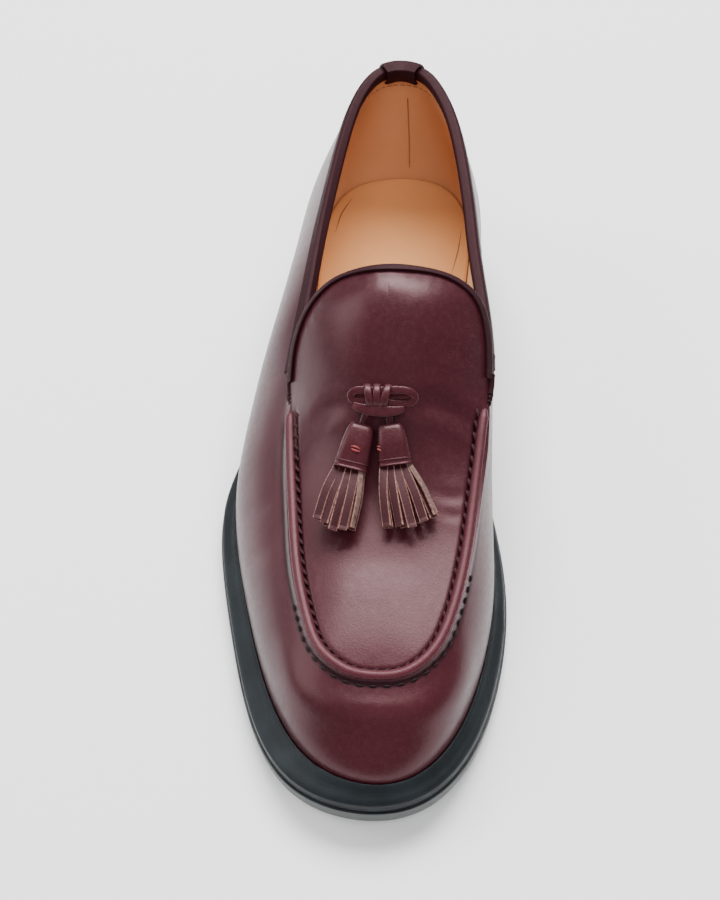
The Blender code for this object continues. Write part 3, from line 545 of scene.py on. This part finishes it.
def calf(name, dark, mid, bright, rough, coat, grain_mm, depth, gloss=0.42):
    """Aniline calf: cloudy burgundy dye under a wax coat, with painted shade and the dark of slits laid on
    where the piece's dark attribute is set, and a fine grain that breaks up the gloss. Real grain is about
    0.2 mm apart, so it is drawn three or four times as coarse."""
    made, tree, shader = surface(name, IOR=1.45, Coat_Weight=coat, Coat_Roughness=0.22, Coat_IOR=1.4,
                                 Specular_IOR_Level=gloss, Specular_Tint=colour(SHEEN))
    spot = add(tree, "ShaderNodeTexCoord", out="Object")
    cloud = add(tree, "ShaderNodeTexNoise", {"Vector": spot, "Scale": 1000 / CLOUD_MM, "Detail": 3.0})
    fleck = add(tree, "ShaderNodeTexNoise", {"Vector": spot, "Scale": 1000 / FLECK_MM, "Detail": 4.0,
                                             "Roughness": 0.65})
    # painted shade, and the dark of the slits, laid on where the piece's dark attribute says
    shade_and_slits = add(tree, "ShaderNodeAttribute", out="Fac", attribute_name="dark")
    tinted(tree, shader, dark, (cloud, 0.25, 0.75, 0.30, 0.85, mid), (fleck, 0.48, 0.75, 0.0, 0.16, bright),
           (shade_and_slits, 0.1, 0.8, 0.0, 0.85, SHADE_AND_SLIT_DARK))
    dulled = add(tree, "ShaderNodeMapRange", (fleck, 0.3, 0.7, rough - 0.04, rough + 0.08))
    tree.links.new(dulled, shader.inputs["Roughness"])
    soft = add(tree, "ShaderNodeTexNoise", {"Vector": spot, "Scale": 1000 / DIMPLE_MM, "Detail": 3.0})
    waved = add(tree, "ShaderNodeBump", {"Height": soft, "Strength": 0.12, "Distance": 0.0005})
    grain = add(tree, "ShaderNodeTexVoronoi", {"Vector": spot, "Scale": 1000 / grain_mm}, "Distance")
    raised = add(tree, "ShaderNodeBump", {"Height": grain, "Strength": depth, "Distance": 0.00016,
                                          "Normal": waved})
    tree.links.new(raised, shader.inputs["Normal"])
    return made


polished_calf = calf("burgundy calf, aniline dyed and waxed", DARK_CALF, CALF, BRIGHT_CALF,
                     0.35, 0.10, 0.65, 0.13)
upper_calf = finish("upper_calf", upper_work, [polished_calf], "upper", ["upper"])
# the painted shade and the slits' dark go to the calf as its dark attribute
give(upper_calf, "dark", np.where(outward, dark, 0))


# The lining is thin tan calf glued to the inside of the upper. It shows in
# the heel, with one upright seam down its back and a stitched line round it.
LINING_GAP = 0.0003
LINING_WALL = 0.00025
NEAR_ROOF = 0.0009
LINING_TAN = "#e2b68e"
LINING_LIGHT = "#eac29c"
LINING_HEEL = "#b5774a"
lining_leather = tan_leather("tan lining leather, glued in", 0.6, LINING_TAN, LINING_LIGHT, LINING_HEEL,
                             0.10, 0.137)
lining_work.faces.ensure_lookup_table()
outer = [f for f, inner in zip(lining_work.faces, inner_side) if not inner]
bmesh.ops.delete(lining_work, geom=outer, context="FACES")
lining_work.normal_update()
left_out = []
for vert in lining_work.verts:
    vert.co += vert.normal * LINING_GAP
    # in front, no lining is drawn right under leather, the tongue's too, or where nothing is above it
    roof = outer_tree.ray_cast(vert.co, Vector((0, 0, 1)))[3]
    if vert.co.y < FRONT_FROM and (roof is None or roof < NEAR_ROOF):
        left_out.append(vert)
bmesh.ops.delete(lining_work, geom=left_out, context="VERTS")
bmesh.ops.solidify(lining_work, geom=lining_work.faces, thickness=-LINING_WALL)
bmesh.ops.recalc_face_normals(lining_work, faces=lining_work.faces)
finish("lining", lining_work, [lining_leather], "insole")


# The moccasin seam joins the plug to the wall by hand. The leather of the
# wall is turned up into a round bead, and thread gathers it to the plug.
BEAD_WIDTH = 3.6
BEAD_HEIGHT = 2.7
BEAD_OFFSET = 1.2
BEAD_LIFT = 0.15
BEAD_PINCH = 0.07
STITCH_PITCH = 4.2
# a gathering stitch: its slant along the seam, width and thickness
STITCH_SLANT = 3.1
STITCH_WIDE = 1.25
STITCH_THICK = 0.9
# a stitch of the dark row at the bead's outer foot, which shows only round the toe
ROW_FROM = 226.0
ROW_LONG = 2.6
ROW_WIDE = 0.75
ROW_THICK = 0.6
# one turn of the thread's ply, and how far apart the wave texture sets its bands when its scale is 1
TWIST_MM = 0.349
WAVE_BAND_MM = 314.0


def sweep(work, path, ups, width, thick, square=2.0, sides=12, material=0, edge_material=None, closed=False):
    """Adds a strand along the path, in metres: its width lies across its up direction. A square of 2 is
    round and 6 a flat strip with soft edges. Width and thickness are numbers, or one for each point."""
    path, ups = np.array(path, float), np.array(ups, float)
    count = len(path)
    if ups.ndim == 1:
        ups = np.repeat(ups[None], count, 0)
    width = np.broadcast_to(width, (count,))
    thick = np.broadcast_to(thick, (count,))
    if closed:
        ahead = np.roll(path, -1, 0) - np.roll(path, 1, 0)
    else:
        ahead = np.gradient(path, axis=0)
    ahead /= np.linalg.norm(ahead, axis=1)[:, None] + 1e-12
    side = np.cross(ahead, ups)
    side /= np.linalg.norm(side, axis=1)[:, None] + 1e-12
    up = np.cross(side, ahead)
    turn = np.linspace(0, 2 * math.pi, sides, endpoint=False) + math.pi / sides
    wide = np.sign(np.cos(turn)) * np.abs(np.cos(turn)) ** (2 / square)
    high = np.sign(np.sin(turn)) * np.abs(np.sin(turn)) ** (2 / square)
    rings = []
    for i in range(count):
        ring = path[i] + 0.5 * width[i] * wide[:, None] * side[i] + 0.5 * thick[i] * high[:, None] * up[i]
        rings.append([work.verts.new(spot) for spot in ring])
    pairs = list(zip(rings[:-1], rings[1:])) + ([(rings[-1], rings[0])] if closed else [])
    for first, second in pairs:
        for k in range(sides):
            n = (k + 1) % sides
            face = work.faces.new((first[k], second[k], second[n], first[n]))
            at_edge = abs(wide[k]) > 0.75 and abs(wide[n]) > 0.75
            face.material_index = edge_material if edge_material is not None and at_edge else material
    if not closed:
        for ring in (rings[0][::-1], rings[-1]):
            cap = work.faces.new(ring)
            cap.material_index = material if edge_material is None else edge_material


crest = beside_seam(BEAD_OFFSET, BEAD_LIFT)[0]
kernel = np.ones(9) / 9
for k in range(3):
    crest[:, k] = np.convolve(np.pad(crest[:, k], 4, mode="edge"), kernel, "valid")
phase = 2 * math.pi * seam_run / STITCH_PITCH
pinch = 1 - BEAD_PINCH * np.clip(np.cos(phase), 0, 1) ** 3
ends = np.clip(np.minimum(seam_run, seam_run[-1] - seam_run) / 4.0, 0.15, 1) ** 0.5
bead_work = bmesh.new()
sweep(bead_work, crest, (0, 0, 1), BEAD_WIDTH / 1000 * pinch * ends, BEAD_HEIGHT / 1000 * ends, sides=14)
bead_calf = calf("burgundy calf, rolled and burnished", "#33131a", "#4a1f27", "#5e333a", 0.44, 0.05, 0.8, 0.2)
finish("seam_bead", bead_work, [bead_calf], "upper")


def thread(name, dark, light, rough, gloss, twist_mm=TWIST_MM, wander=2.0, depth=0.0):
    """Waxed linen thread, its plies twisted together, which shows as slanting bands."""
    made, tree, shader = surface(name, Roughness=rough, IOR=1.45, Specular_IOR_Level=gloss)
    spot = add(tree, "ShaderNodeTexCoord", out="Object")
    bands = {"Vector": spot, "Scale": WAVE_BAND_MM / twist_mm, "Distortion": wander}
    twist = add(tree, "ShaderNodeTexWave", bands, "Fac")
    tinted(tree, shader, dark, (twist, 0.0, 1.0, 0.0, 1.0, light))
    if depth:
        raised = add(tree, "ShaderNodeBump", {"Height": twist, "Strength": depth, "Distance": 0.0002})
        tree.links.new(raised, shader.inputs["Normal"])
    return made


# waxed thread lies twisted in the groove inside the bead, and a near-black row runs at its outer foot
waxed_thread = thread("linen thread, waxed, burgundy", "#18080b", "#40191f", 0.7, 0.3, depth=0.4)
black_thread = thread("black thread, waxed", "#0c0607", "#1d0f12", 0.65, 0.25)
thread_work = bmesh.new()
near_side = beside_seam(GROOVE_OFFSET - 0.5, -0.20)[0]
plug_side, plug_ups = beside_seam(GROOVE_OFFSET + 1.0)
row_side, row_ups = beside_seam(FOOT_OFFSET - 0.5)
row_side = np.array([creased_tree.find_nearest(Vector(spot))[0] for spot in row_side]) + 0.0001 * row_ups


def along_seam(values, run):
    """The value that goes with a spot so many mm along the seam."""
    return np.array([np.interp(run, seam_run, values[:, k]) for k in range(3)])


ROUNDED = np.array([0.25, 0.75, 0.95, 1, 1, 0.95, 0.75, 0.25])
for run in np.arange(2.0, seam_run[-1] - 3.5, STITCH_PITCH):
    up = along_seam(plug_ups, run)
    first, last = along_seam(near_side, run), along_seam(plug_side, run + STITCH_SLANT)
    stitch = smooth_line([first, 0.5 * (first + last) + up * 0.00035, last], 8)
    sweep(thread_work, stitch, up, STITCH_WIDE / 1000 * ROUNDED, STITCH_THICK / 1000 * ROUNDED, sides=10)
    if along_seam(seam, run)[1] < ROW_FROM:
        continue
    up = along_seam(row_ups, run)
    first, last = along_seam(row_side, run), along_seam(row_side, run + ROW_LONG)
    stitch = smooth_line([first, 0.5 * (first + last) + up * 0.0002, last], 8)
    sweep(thread_work, stitch, up, ROW_WIDE / 1000 * ROUNDED, ROW_THICK / 1000 * ROUNDED, sides=6, material=1)
finish("seam_thread", thread_work, [waxed_thread, black_thread], "upper")


# The collar is bound with a folded strip of thinner calf, rolled over a cord.
# Its inner edge is turned under and the lining shows beyond it.
# The tongue's edge is bound in the same way.
BINDING_EDGE = 0.0003
binding_calf = calf("thin burgundy calf, folded", "#18080d", "#270e14", "#36171e", 0.6, 0.0, 0.7, 0.20,
                    gloss=0.26)
for node in ("collar_binding", "tongue_binding"):
    finish(node + "_calf", refined(node, BINDING_EDGE), [binding_calf], node, [node])

# The back strip covers the seam at the heel, and its top is folded over the
# collar as a tab. The tab is drawn in across its top, and its inner fold ends
# just under the collar.
TAB_FOOT = 0.0832
TAB_NARROW = 0.84
TAB_FOLD_NARROW = 0.80
TAB_FRONT = 0.1392
TAB_RISE = 0.8
TAB_EASE = 0.002
strip_work = refined("back_strip", 0.0004)
for vert in strip_work.verts:
    share = min(max((vert.co.z - TAB_FOOT) / TAB_EASE, 0), 1)
    vert.co.x = MIDDLE + (vert.co.x - MIDDLE) * (1 - (1 - TAB_NARROW) * share)
    if vert.co.y < TAB_FRONT and vert.co.z < TAB_FOOT:
        vert.co.z = TAB_FOOT - (TAB_FOOT - vert.co.z) * (1 - TAB_RISE)
        vert.co.x = MIDDLE + (vert.co.x - MIDDLE) * TAB_FOLD_NARROW
finish("back_strip_calf", strip_work, [binding_calf], "back_strip", ["back_strip"])

# At each notch the two bindings meet: one is carried down to the seam, the
# other along the collar's end, and black thread holds them there.
NOTCHES = (
    # end of the tongue's binding, end of the collar's binding, all across, along, up
    (((-32.9, 150.0, 59.0), (-32.8, 153.5, 55.4), (-32.4, 157.0, 53.6), (-31.8, 160.0, 53.0)),
     ((-33.2, 140.5, 52.9), (-33.0, 146.0, 53.2), (-32.6, 153.0, 53.2), (-32.2, 158.0, 52.7))),
    (((38.6, 155.5, 68.4), (38.6, 159.0, 65.6), (38.2, 163.0, 63.6), (37.5, 166.0, 62.6)),
     ((37.6, 143.5, 64.8), (37.6, 149.0, 64.7), (37.5, 156.0, 64.3), (37.2, 162.0, 63.5))),
)
# width and thickness of each end, and the thread's turns round the first: their reach, width and thickness
DOWN_END = (2.7, 2.0)
ALONG_END = (3.4, 3.0)
TURNS_AT = (14, 17, 20)
TURN_REACH = 1.15
TURN_WIDE = 0.5
TURN_THICK = 0.4
notch_work = bmesh.new()
for down, along in NOTCHES:
    taper = np.linspace(1.0, 0.6, 24)
    ends = np.concatenate([np.ones(20), [0.95, 0.85, 0.65, 0.35]])
    wider = np.linspace(1.35, 1.0, 24) * ends
    down_line = placed(down, 24)
    strands = ((down_line, DOWN_END, taper * ends), (placed(along, 24), ALONG_END, wider))
    for line, (wide, thick), share in strands:
        sweep(notch_work, line, (0, 0, 1), wide / 1000 * share, thick / 1000 * share)
    for k in TURNS_AT:
        outs = [np.array([taper[k] * 1.15 * math.cos(a), 0.15 * math.sin(a), math.sin(a)]) * TURN_REACH / 1000
                for a in np.linspace(0, 2 * math.pi, 16, endpoint=False)]
        ring = [np.array(down_line[k]) + out for out in outs]
        sweep(notch_work, ring, outs, TURN_WIDE / 1000, TURN_THICK / 1000, 2.0, 6, material=1, closed=True)
finish("notch_ends", notch_work, [binding_calf, black_thread], "collar_binding")

# The lining is closed by a back seam and held under the collar by a row of tan
# stitches. The sock bends up at its sides in two fine creases.
LINING_STITCH_PITCH = 2.6
LINING_STITCH_LONG = 1.8
ROW_HEIGHT = 79.0
BACK_SEAM_TURN = 0.045
SOCK_CREASES = (((-26.5, 40.0), (-24.8, 29.0), (-21.0, 19.0)), ((21.5, 62.0), (23.6, 49.0), (24.6, 37.0)))
FIBRE_MM = 0.667
lining_thread, tree, shader = surface("tan thread, linen, soft and unwaxed", Roughness=0.7, IOR=1.45)
spot = add(tree, "ShaderNodeTexCoord", out="Object")
fibre = add(tree, "ShaderNodeTexNoise", {"Vector": spot, "Scale": 1000 / FIBRE_MM})
tinted(tree, shader, "#7a4d2c", (fibre, 0.0, 1.0, 0.0, 1.0, "#a87850"))
row_work = bmesh.new()


def in_heel(turn, height):
    """The spot on the lining at this height in mm, in a direction turned from straight back by this angle."""
    ahead = Vector((math.sin(turn), math.cos(turn), 0))
    return outer_tree.ray_cast(place(0, 52, height), ahead)[0] - ahead * 0.0007


back_seam = [in_heel(BACK_SEAM_TURN, z) for z in np.linspace(33, 71, 12)]
sweep(row_work, back_seam, (0, -1, 0), 0.5e-3, 0.3e-3, 2.0, 6)
row = np.array([in_heel(t, ROW_HEIGHT - 2.6 * abs(t) ** 1.6) for t in np.linspace(-1.05, 1.05, 60)])
row_run = np.concatenate([[0], np.cumsum(np.linalg.norm(np.diff(row, axis=0), axis=1))]) * 1000
for run in np.arange(0.5, row_run[-1] - 2.0, LINING_STITCH_PITCH):
    steps = run + np.linspace(0, LINING_STITCH_LONG, 3)
    stitch = np.stack([np.interp(steps, row_run, row[:, k]) for k in range(3)], 1)
    sweep(row_work, stitch, (0, -0.7, 0.7), 0.4e-3, 0.35e-3, 2.0, 6)
sock_tree = BVHTree.FromObject(bpy.data.objects["insole_sock"], bpy.context.evaluated_depsgraph_get())
for line in SOCK_CREASES:
    spots = [sock_tree.ray_cast(place(x, s, 60), Vector((0, 0, -1)))[0] for x, s in smooth_line(line, 12)]
    spots = [np.array(spot) + [0, 0, 0.00005] for spot in spots if spot is not None]
    thin = np.sin(np.linspace(0.2, math.pi - 0.2, len(spots)))
    sweep(row_work, spots, (0, 0, 1), 0.6e-3 * thin, 0.2e-3 * thin, 2.0, 6)
finish("lining_stitches", row_work, [lining_thread], "insole")


# The knot is tied from one flat thong of the same calf. It makes a loop to
# each side with a strand inside it, three turns round the middle and one wide
# turn below them.
thong_calf = calf("burgundy thong, cut and burnished", "#280d13", "#40171e", "#562b32", 0.38, 0.14, 0.7, 0.22)
KNOT_UP = (0, -0.60, 0.80)
KNOT_CENTRE = (0.4, 176.2, 78.7)
# each line in the knot's own sizes: across, down the slope, out of it
LOOPS = (
    ((0, -1.2, 0.5), (-4.0, -1.4, 1.1), (-7.6, -1.1, 0.9), (-8.9, 0.4, 0.2), (-7.8, 2.0, -0.2),
     (-4.0, 1.9, 0.0), (0, 1.8, 0.0)),
    ((1.0, -1.4, 0.5), (6.0, -1.7, 1.3), (10.6, -1.3, 1.0), (12.6, 0.6, 0.0), (10.6, 2.6, -0.6),
     (6.0, 2.8, -0.2), (1.0, 2.4, 0.0)),
)
THONG_WIDE = 2.9
THONG_THICK = 1.8
MIDDLE_STRANDS = (
    ((3.5, 1.0, -0.4), (7.5, 0.4, -0.2), (11.6, -0.2, -0.4)),
    ((-2.5, 0.5, -0.3), (-5.0, 0.4, -0.1), (-7.8, 0.5, -0.4)),
)
STRAND_WIDE = 2.0
STRAND_THICK = 1.2
BAND = ((-8.4, 3.4, 0.2), (-5.5, 4.7, 1.0), (0.3, 5.6, 1.5), (5.5, 5.5, 1.1), (9.2, 4.4, 0.2))
# how far across each turn lies and how far it slants, and the size of all three
WRAPS = ((-2.9, 0.7), (-0.1, 0.2), (2.8, -0.8))
WRAP_DOWN = 3.7
WRAP_OUT = 2.9
WRAP_WIDE = 2.7
WRAP_THICK = 1.4


def in_knot(across, down, out):
    """A spot in the knot, from its middle: mm across, down the slope and out of it."""
    x, s, z = KNOT_CENTRE
    return place(x + across, s + 0.8 * down + 0.6 * out, z - 0.6 * down + 0.8 * out)


knot_work = bmesh.new()
for loop in LOOPS:
    sweep(knot_work, placed(loop, 40, in_knot), KNOT_UP, THONG_WIDE / 1000, THONG_THICK / 1000, 3.5, 16)
for strand in MIDDLE_STRANDS:
    sweep(knot_work, placed(strand, 16, in_knot), KNOT_UP, STRAND_WIDE / 1000, STRAND_THICK / 1000, 3.0)
for x, slant in WRAPS:
    ring, outs = [], []
    for a in np.linspace(0, 2 * math.pi, 36, endpoint=False):
        ring.append(in_knot(x + slant * math.sin(a), 0.5 + WRAP_DOWN * math.sin(a), WRAP_OUT * math.cos(a)))
        outs.append(np.array(in_knot(x, 0.5 + math.sin(a), math.cos(a))) - np.array(in_knot(x, 0.5, 0)))
    sweep(knot_work, ring, outs, WRAP_WIDE / 1000, WRAP_THICK / 1000, 3.0, 14, closed=True)
# the wide turn is flattened at its middle and goes into the plug at both ends
swell = np.sin(np.linspace(0, math.pi, 36)) ** 0.6
sweep(knot_work, placed(BAND, 36, in_knot), KNOT_UP, (1.6 + 2.4 * swell) / 1000, (1.0 + 0.5 * swell) / 1000,
      4.0, 16)
finish("knot_thong", knot_work, [thong_calf], "tassel_knot", ["tassel_knot"])


# Each tassel is a strip of calf cut into a fringe and rolled up in a cap. The
# cap is sewn down with red thread, and the cut edges stay pale.
RED_THREAD_TWIST_MM = 0.393


def raw_leather(name, dark, light, rough, nap_mm, detail, depth):
    """Leather fibre left bare, where it was cut or on its flesh side: matt, rough and paler than the dyed
    grain. Its fibres are finer than a tenth of a millimetre, and are drawn as a coarser nap."""
    made, tree, shader = surface(name, Roughness=rough, IOR=1.45)
    spot = add(tree, "ShaderNodeTexCoord", out="Object")
    nap = add(tree, "ShaderNodeTexNoise", {"Vector": spot, "Scale": 1000 / nap_mm, "Detail": detail})
    tinted(tree, shader, dark, (nap, 0.3, 0.7, 0.0, 1.0, light))
    raised = add(tree, "ShaderNodeBump", {"Height": nap, "Strength": depth, "Distance": 0.0003})
    tree.links.new(raised, shader.inputs["Normal"])
    return made


cut_edge = raw_leather("cut leather edge, raw and pale", "#55302c", "#8a6257", 0.75, 1.11, 4.0, 0.5)
flesh = raw_leather("flesh side of the calf, brushed", "#44302d", "#6c564f", 0.8, 1.43, 5.0, 0.4)
red_thread = thread("red thread, twisted", "#5e1a1c", "#8e2a2a", 0.55, 0.593, RED_THREAD_TWIST_MM, 1.5)
# the fringe's calf is a darker copy of the cap's, which paints the shade that falls among the strips
shaded_strip_calf = calf("burgundy calf, cut in strips, darkened for painted shade", "#1e090d", "#2e0f15", "#40202a", 0.55, 0.0, 0.7, 0.25)
TASSELS = {
    # stem top, cap top, cap foot (left and right), fringe ends (left, middle, right), all across, along, up,
    # and how far across the cap the stitch lies
    "tassel_lateral": (((-3.0, 179.9, 74.6), (-4.6, 183.3, 71.2)),
                       ((-13.4, 193.4, 63.4), (-2.6, 198.2, 62.6)),
                       ((-19.6, 212.4, 56.8), (-12.6, 217.2, 56.2), (-4.6, 216.8, 56.4)), 0.3),
    "tassel_medial": (((4.2, 179.9, 74.2), (4.9, 183.0, 71.2)),
                      ((1.4, 195.4, 63.2), (12.8, 192.8, 64.0)),
                      ((3.2, 215.8, 56.4), (13.4, 215.8, 56.9), (23.2, 210.6, 58.2)), -3.6),
}
STEM_WIDE = 2.4
STEM_THICK = 1.6
CAP_RINGS = 16
CAP_TOP_WIDE = 8.8
CAP_THICK = 6.6
CAP_SQUARE = 3.2
EDGE_WIDE = 0.6
EDGE_THICK = 0.4
# strips in each layer, from the front one
FRINGE_LAYERS = (5, 4, 4)
STRIP_WIDE = 3.1
TURNED_WIDE = 1.8
STRIP_THICK = 0.9
TURNED_LEAN = 1.1
RED_STITCH_HALF = 1.7
RED_STITCH_WIDE = 0.8
RED_STITCH_THICK = 0.7
for name, (stem, foot, fringe, stitch_across) in TASSELS.items():
    work = bmesh.new()
    left, right = np.array(foot[0]), np.array(foot[1])
    middle_foot = 0.5 * (left + right)
    stem_line = placed((*stem, middle_foot), 8)[:6]
    sweep(work, stem_line, KNOT_UP, STEM_WIDE / 1000, STEM_THICK / 1000, 3.0, 10)
    top = np.array(stem[1])
    wide_foot = np.linalg.norm(right - left)
    line = placed([top, 0.5 * (top + middle_foot) + (0, 0, 0.5), middle_foot], CAP_RINGS)
    shares = np.linspace(0, 1, CAP_RINGS)
    belly = np.interp(shares, (0, 0.08, 0.3, 0.9, 1.0), (0.80, 0.95, 1.0, 1.0, 0.98))
    wides = (CAP_TOP_WIDE + (wide_foot - CAP_TOP_WIDE) * shares ** 0.8) * belly
    thicks = CAP_THICK * np.interp(shares, (0, 0.1, 0.5, 1.0), (0.62, 0.85, 1.0, 0.95))
    sweep(work, line, KNOT_UP, wides / 1000, thicks / 1000, CAP_SQUARE, 24)
    # a doubled edge round the cap's foot
    ahead = np.array(line[-1] - line[-3])
    ahead /= np.linalg.norm(ahead)
    side = np.cross(ahead, KNOT_UP)
    side /= np.linalg.norm(side)
    up = np.cross(side, ahead)
    for k in (-1, -3):
        ring, outs = [], []
        for a in np.linspace(0, 2 * math.pi, 40, endpoint=False):
            w = np.sign(math.cos(a)) * abs(math.cos(a)) ** (2 / CAP_SQUARE)
            h = np.sign(math.sin(a)) * abs(math.sin(a)) ** (2 / CAP_SQUARE)
            out = 0.5e-3 * wides[k] * w * side + 0.5e-3 * thicks[k] * h * up
            ring.append(np.array(line[k]) + out)
            outs.append(out)
        sweep(work, ring, outs, EDGE_WIDE / 1000, EDGE_THICK / 1000, 2.0, 8, closed=True)
    # the fringe: three layers of flat strips that spread, sag and twist a little
    ends = smooth_line(fringe, 9)
    for layer, count in enumerate(FRINGE_LAYERS):
        for i in range(count):
            share = (i + 0.5) / count
            rest = (i * 37 + layer * 53 + len(name) * 11) % 10 / 10
            start = left + (right - left) * (0.08 + 0.84 * share) + (0, 0, 0.9 - 1.7 * layer)
            target = np.array([np.interp(share, np.linspace(0, 1, 9), ends[:, k]) for k in range(3)])
            target = target + (0, 1.6 * rest - 0.8 - 1.2 * layer, 0.5 - 1.35 * layer)
            half = 0.5 * (start + target) + ((share - 0.5) * 1.6, 0, 0.9 - 0.3 * layer)
            before = start - (target - start) * 0.12
            path = placed([before, start, half, target], 18)
            # the outermost strip in front is turned, so that its flesh side shows
            turned = layer == 0 and i == count - 1
            lean = TURNED_LEAN if turned else 1.1 * (rest - 0.5) + 0.40 * (share - 0.5)
            shares = np.linspace(0, 1, 18)[:, None]
            ups = np.array([[0.0, -0.45, 0.88]]) + shares * lean * np.array([[1.0, 0.1, 0.0]])
            wide = TURNED_WIDE if turned else STRIP_WIDE
            sweep(work, path, ups, wide / 1000, STRIP_THICK / 1000, 5.0, 16, material=3 if turned else 4,
                  edge_material=1)
    # one short red stitch of two threads, on the middle of the cap
    face = np.array(KNOT_UP) * 0.5e-3 * CAP_THICK
    for turn in (-0.35, 0.35):
        along_cap = np.array([0, -turn, -0.6 * turn]) / 1000
        first, last = [np.array(line[k]) + face * 1.02 + along_cap
                       + np.array([stitch_across + half, 0, -0.4 * abs(stitch_across)]) / 1000
                       for k, half in ((8, -RED_STITCH_HALF), (9, RED_STITCH_HALF))]
        middle = 0.5 * (first + last) + 0.6 * along_cap + face * 0.05
        sweep(work, smooth_line([first, middle, last], 8), KNOT_UP, RED_STITCH_WIDE / 1000 * ROUNDED,
              RED_STITCH_THICK / 1000 * ROUNDED, 2.0, 8, material=2)
    finish(name + "_calf", work, [thong_calf, cut_edge, red_thread, flesh, shaded_strip_calf], name, [name])
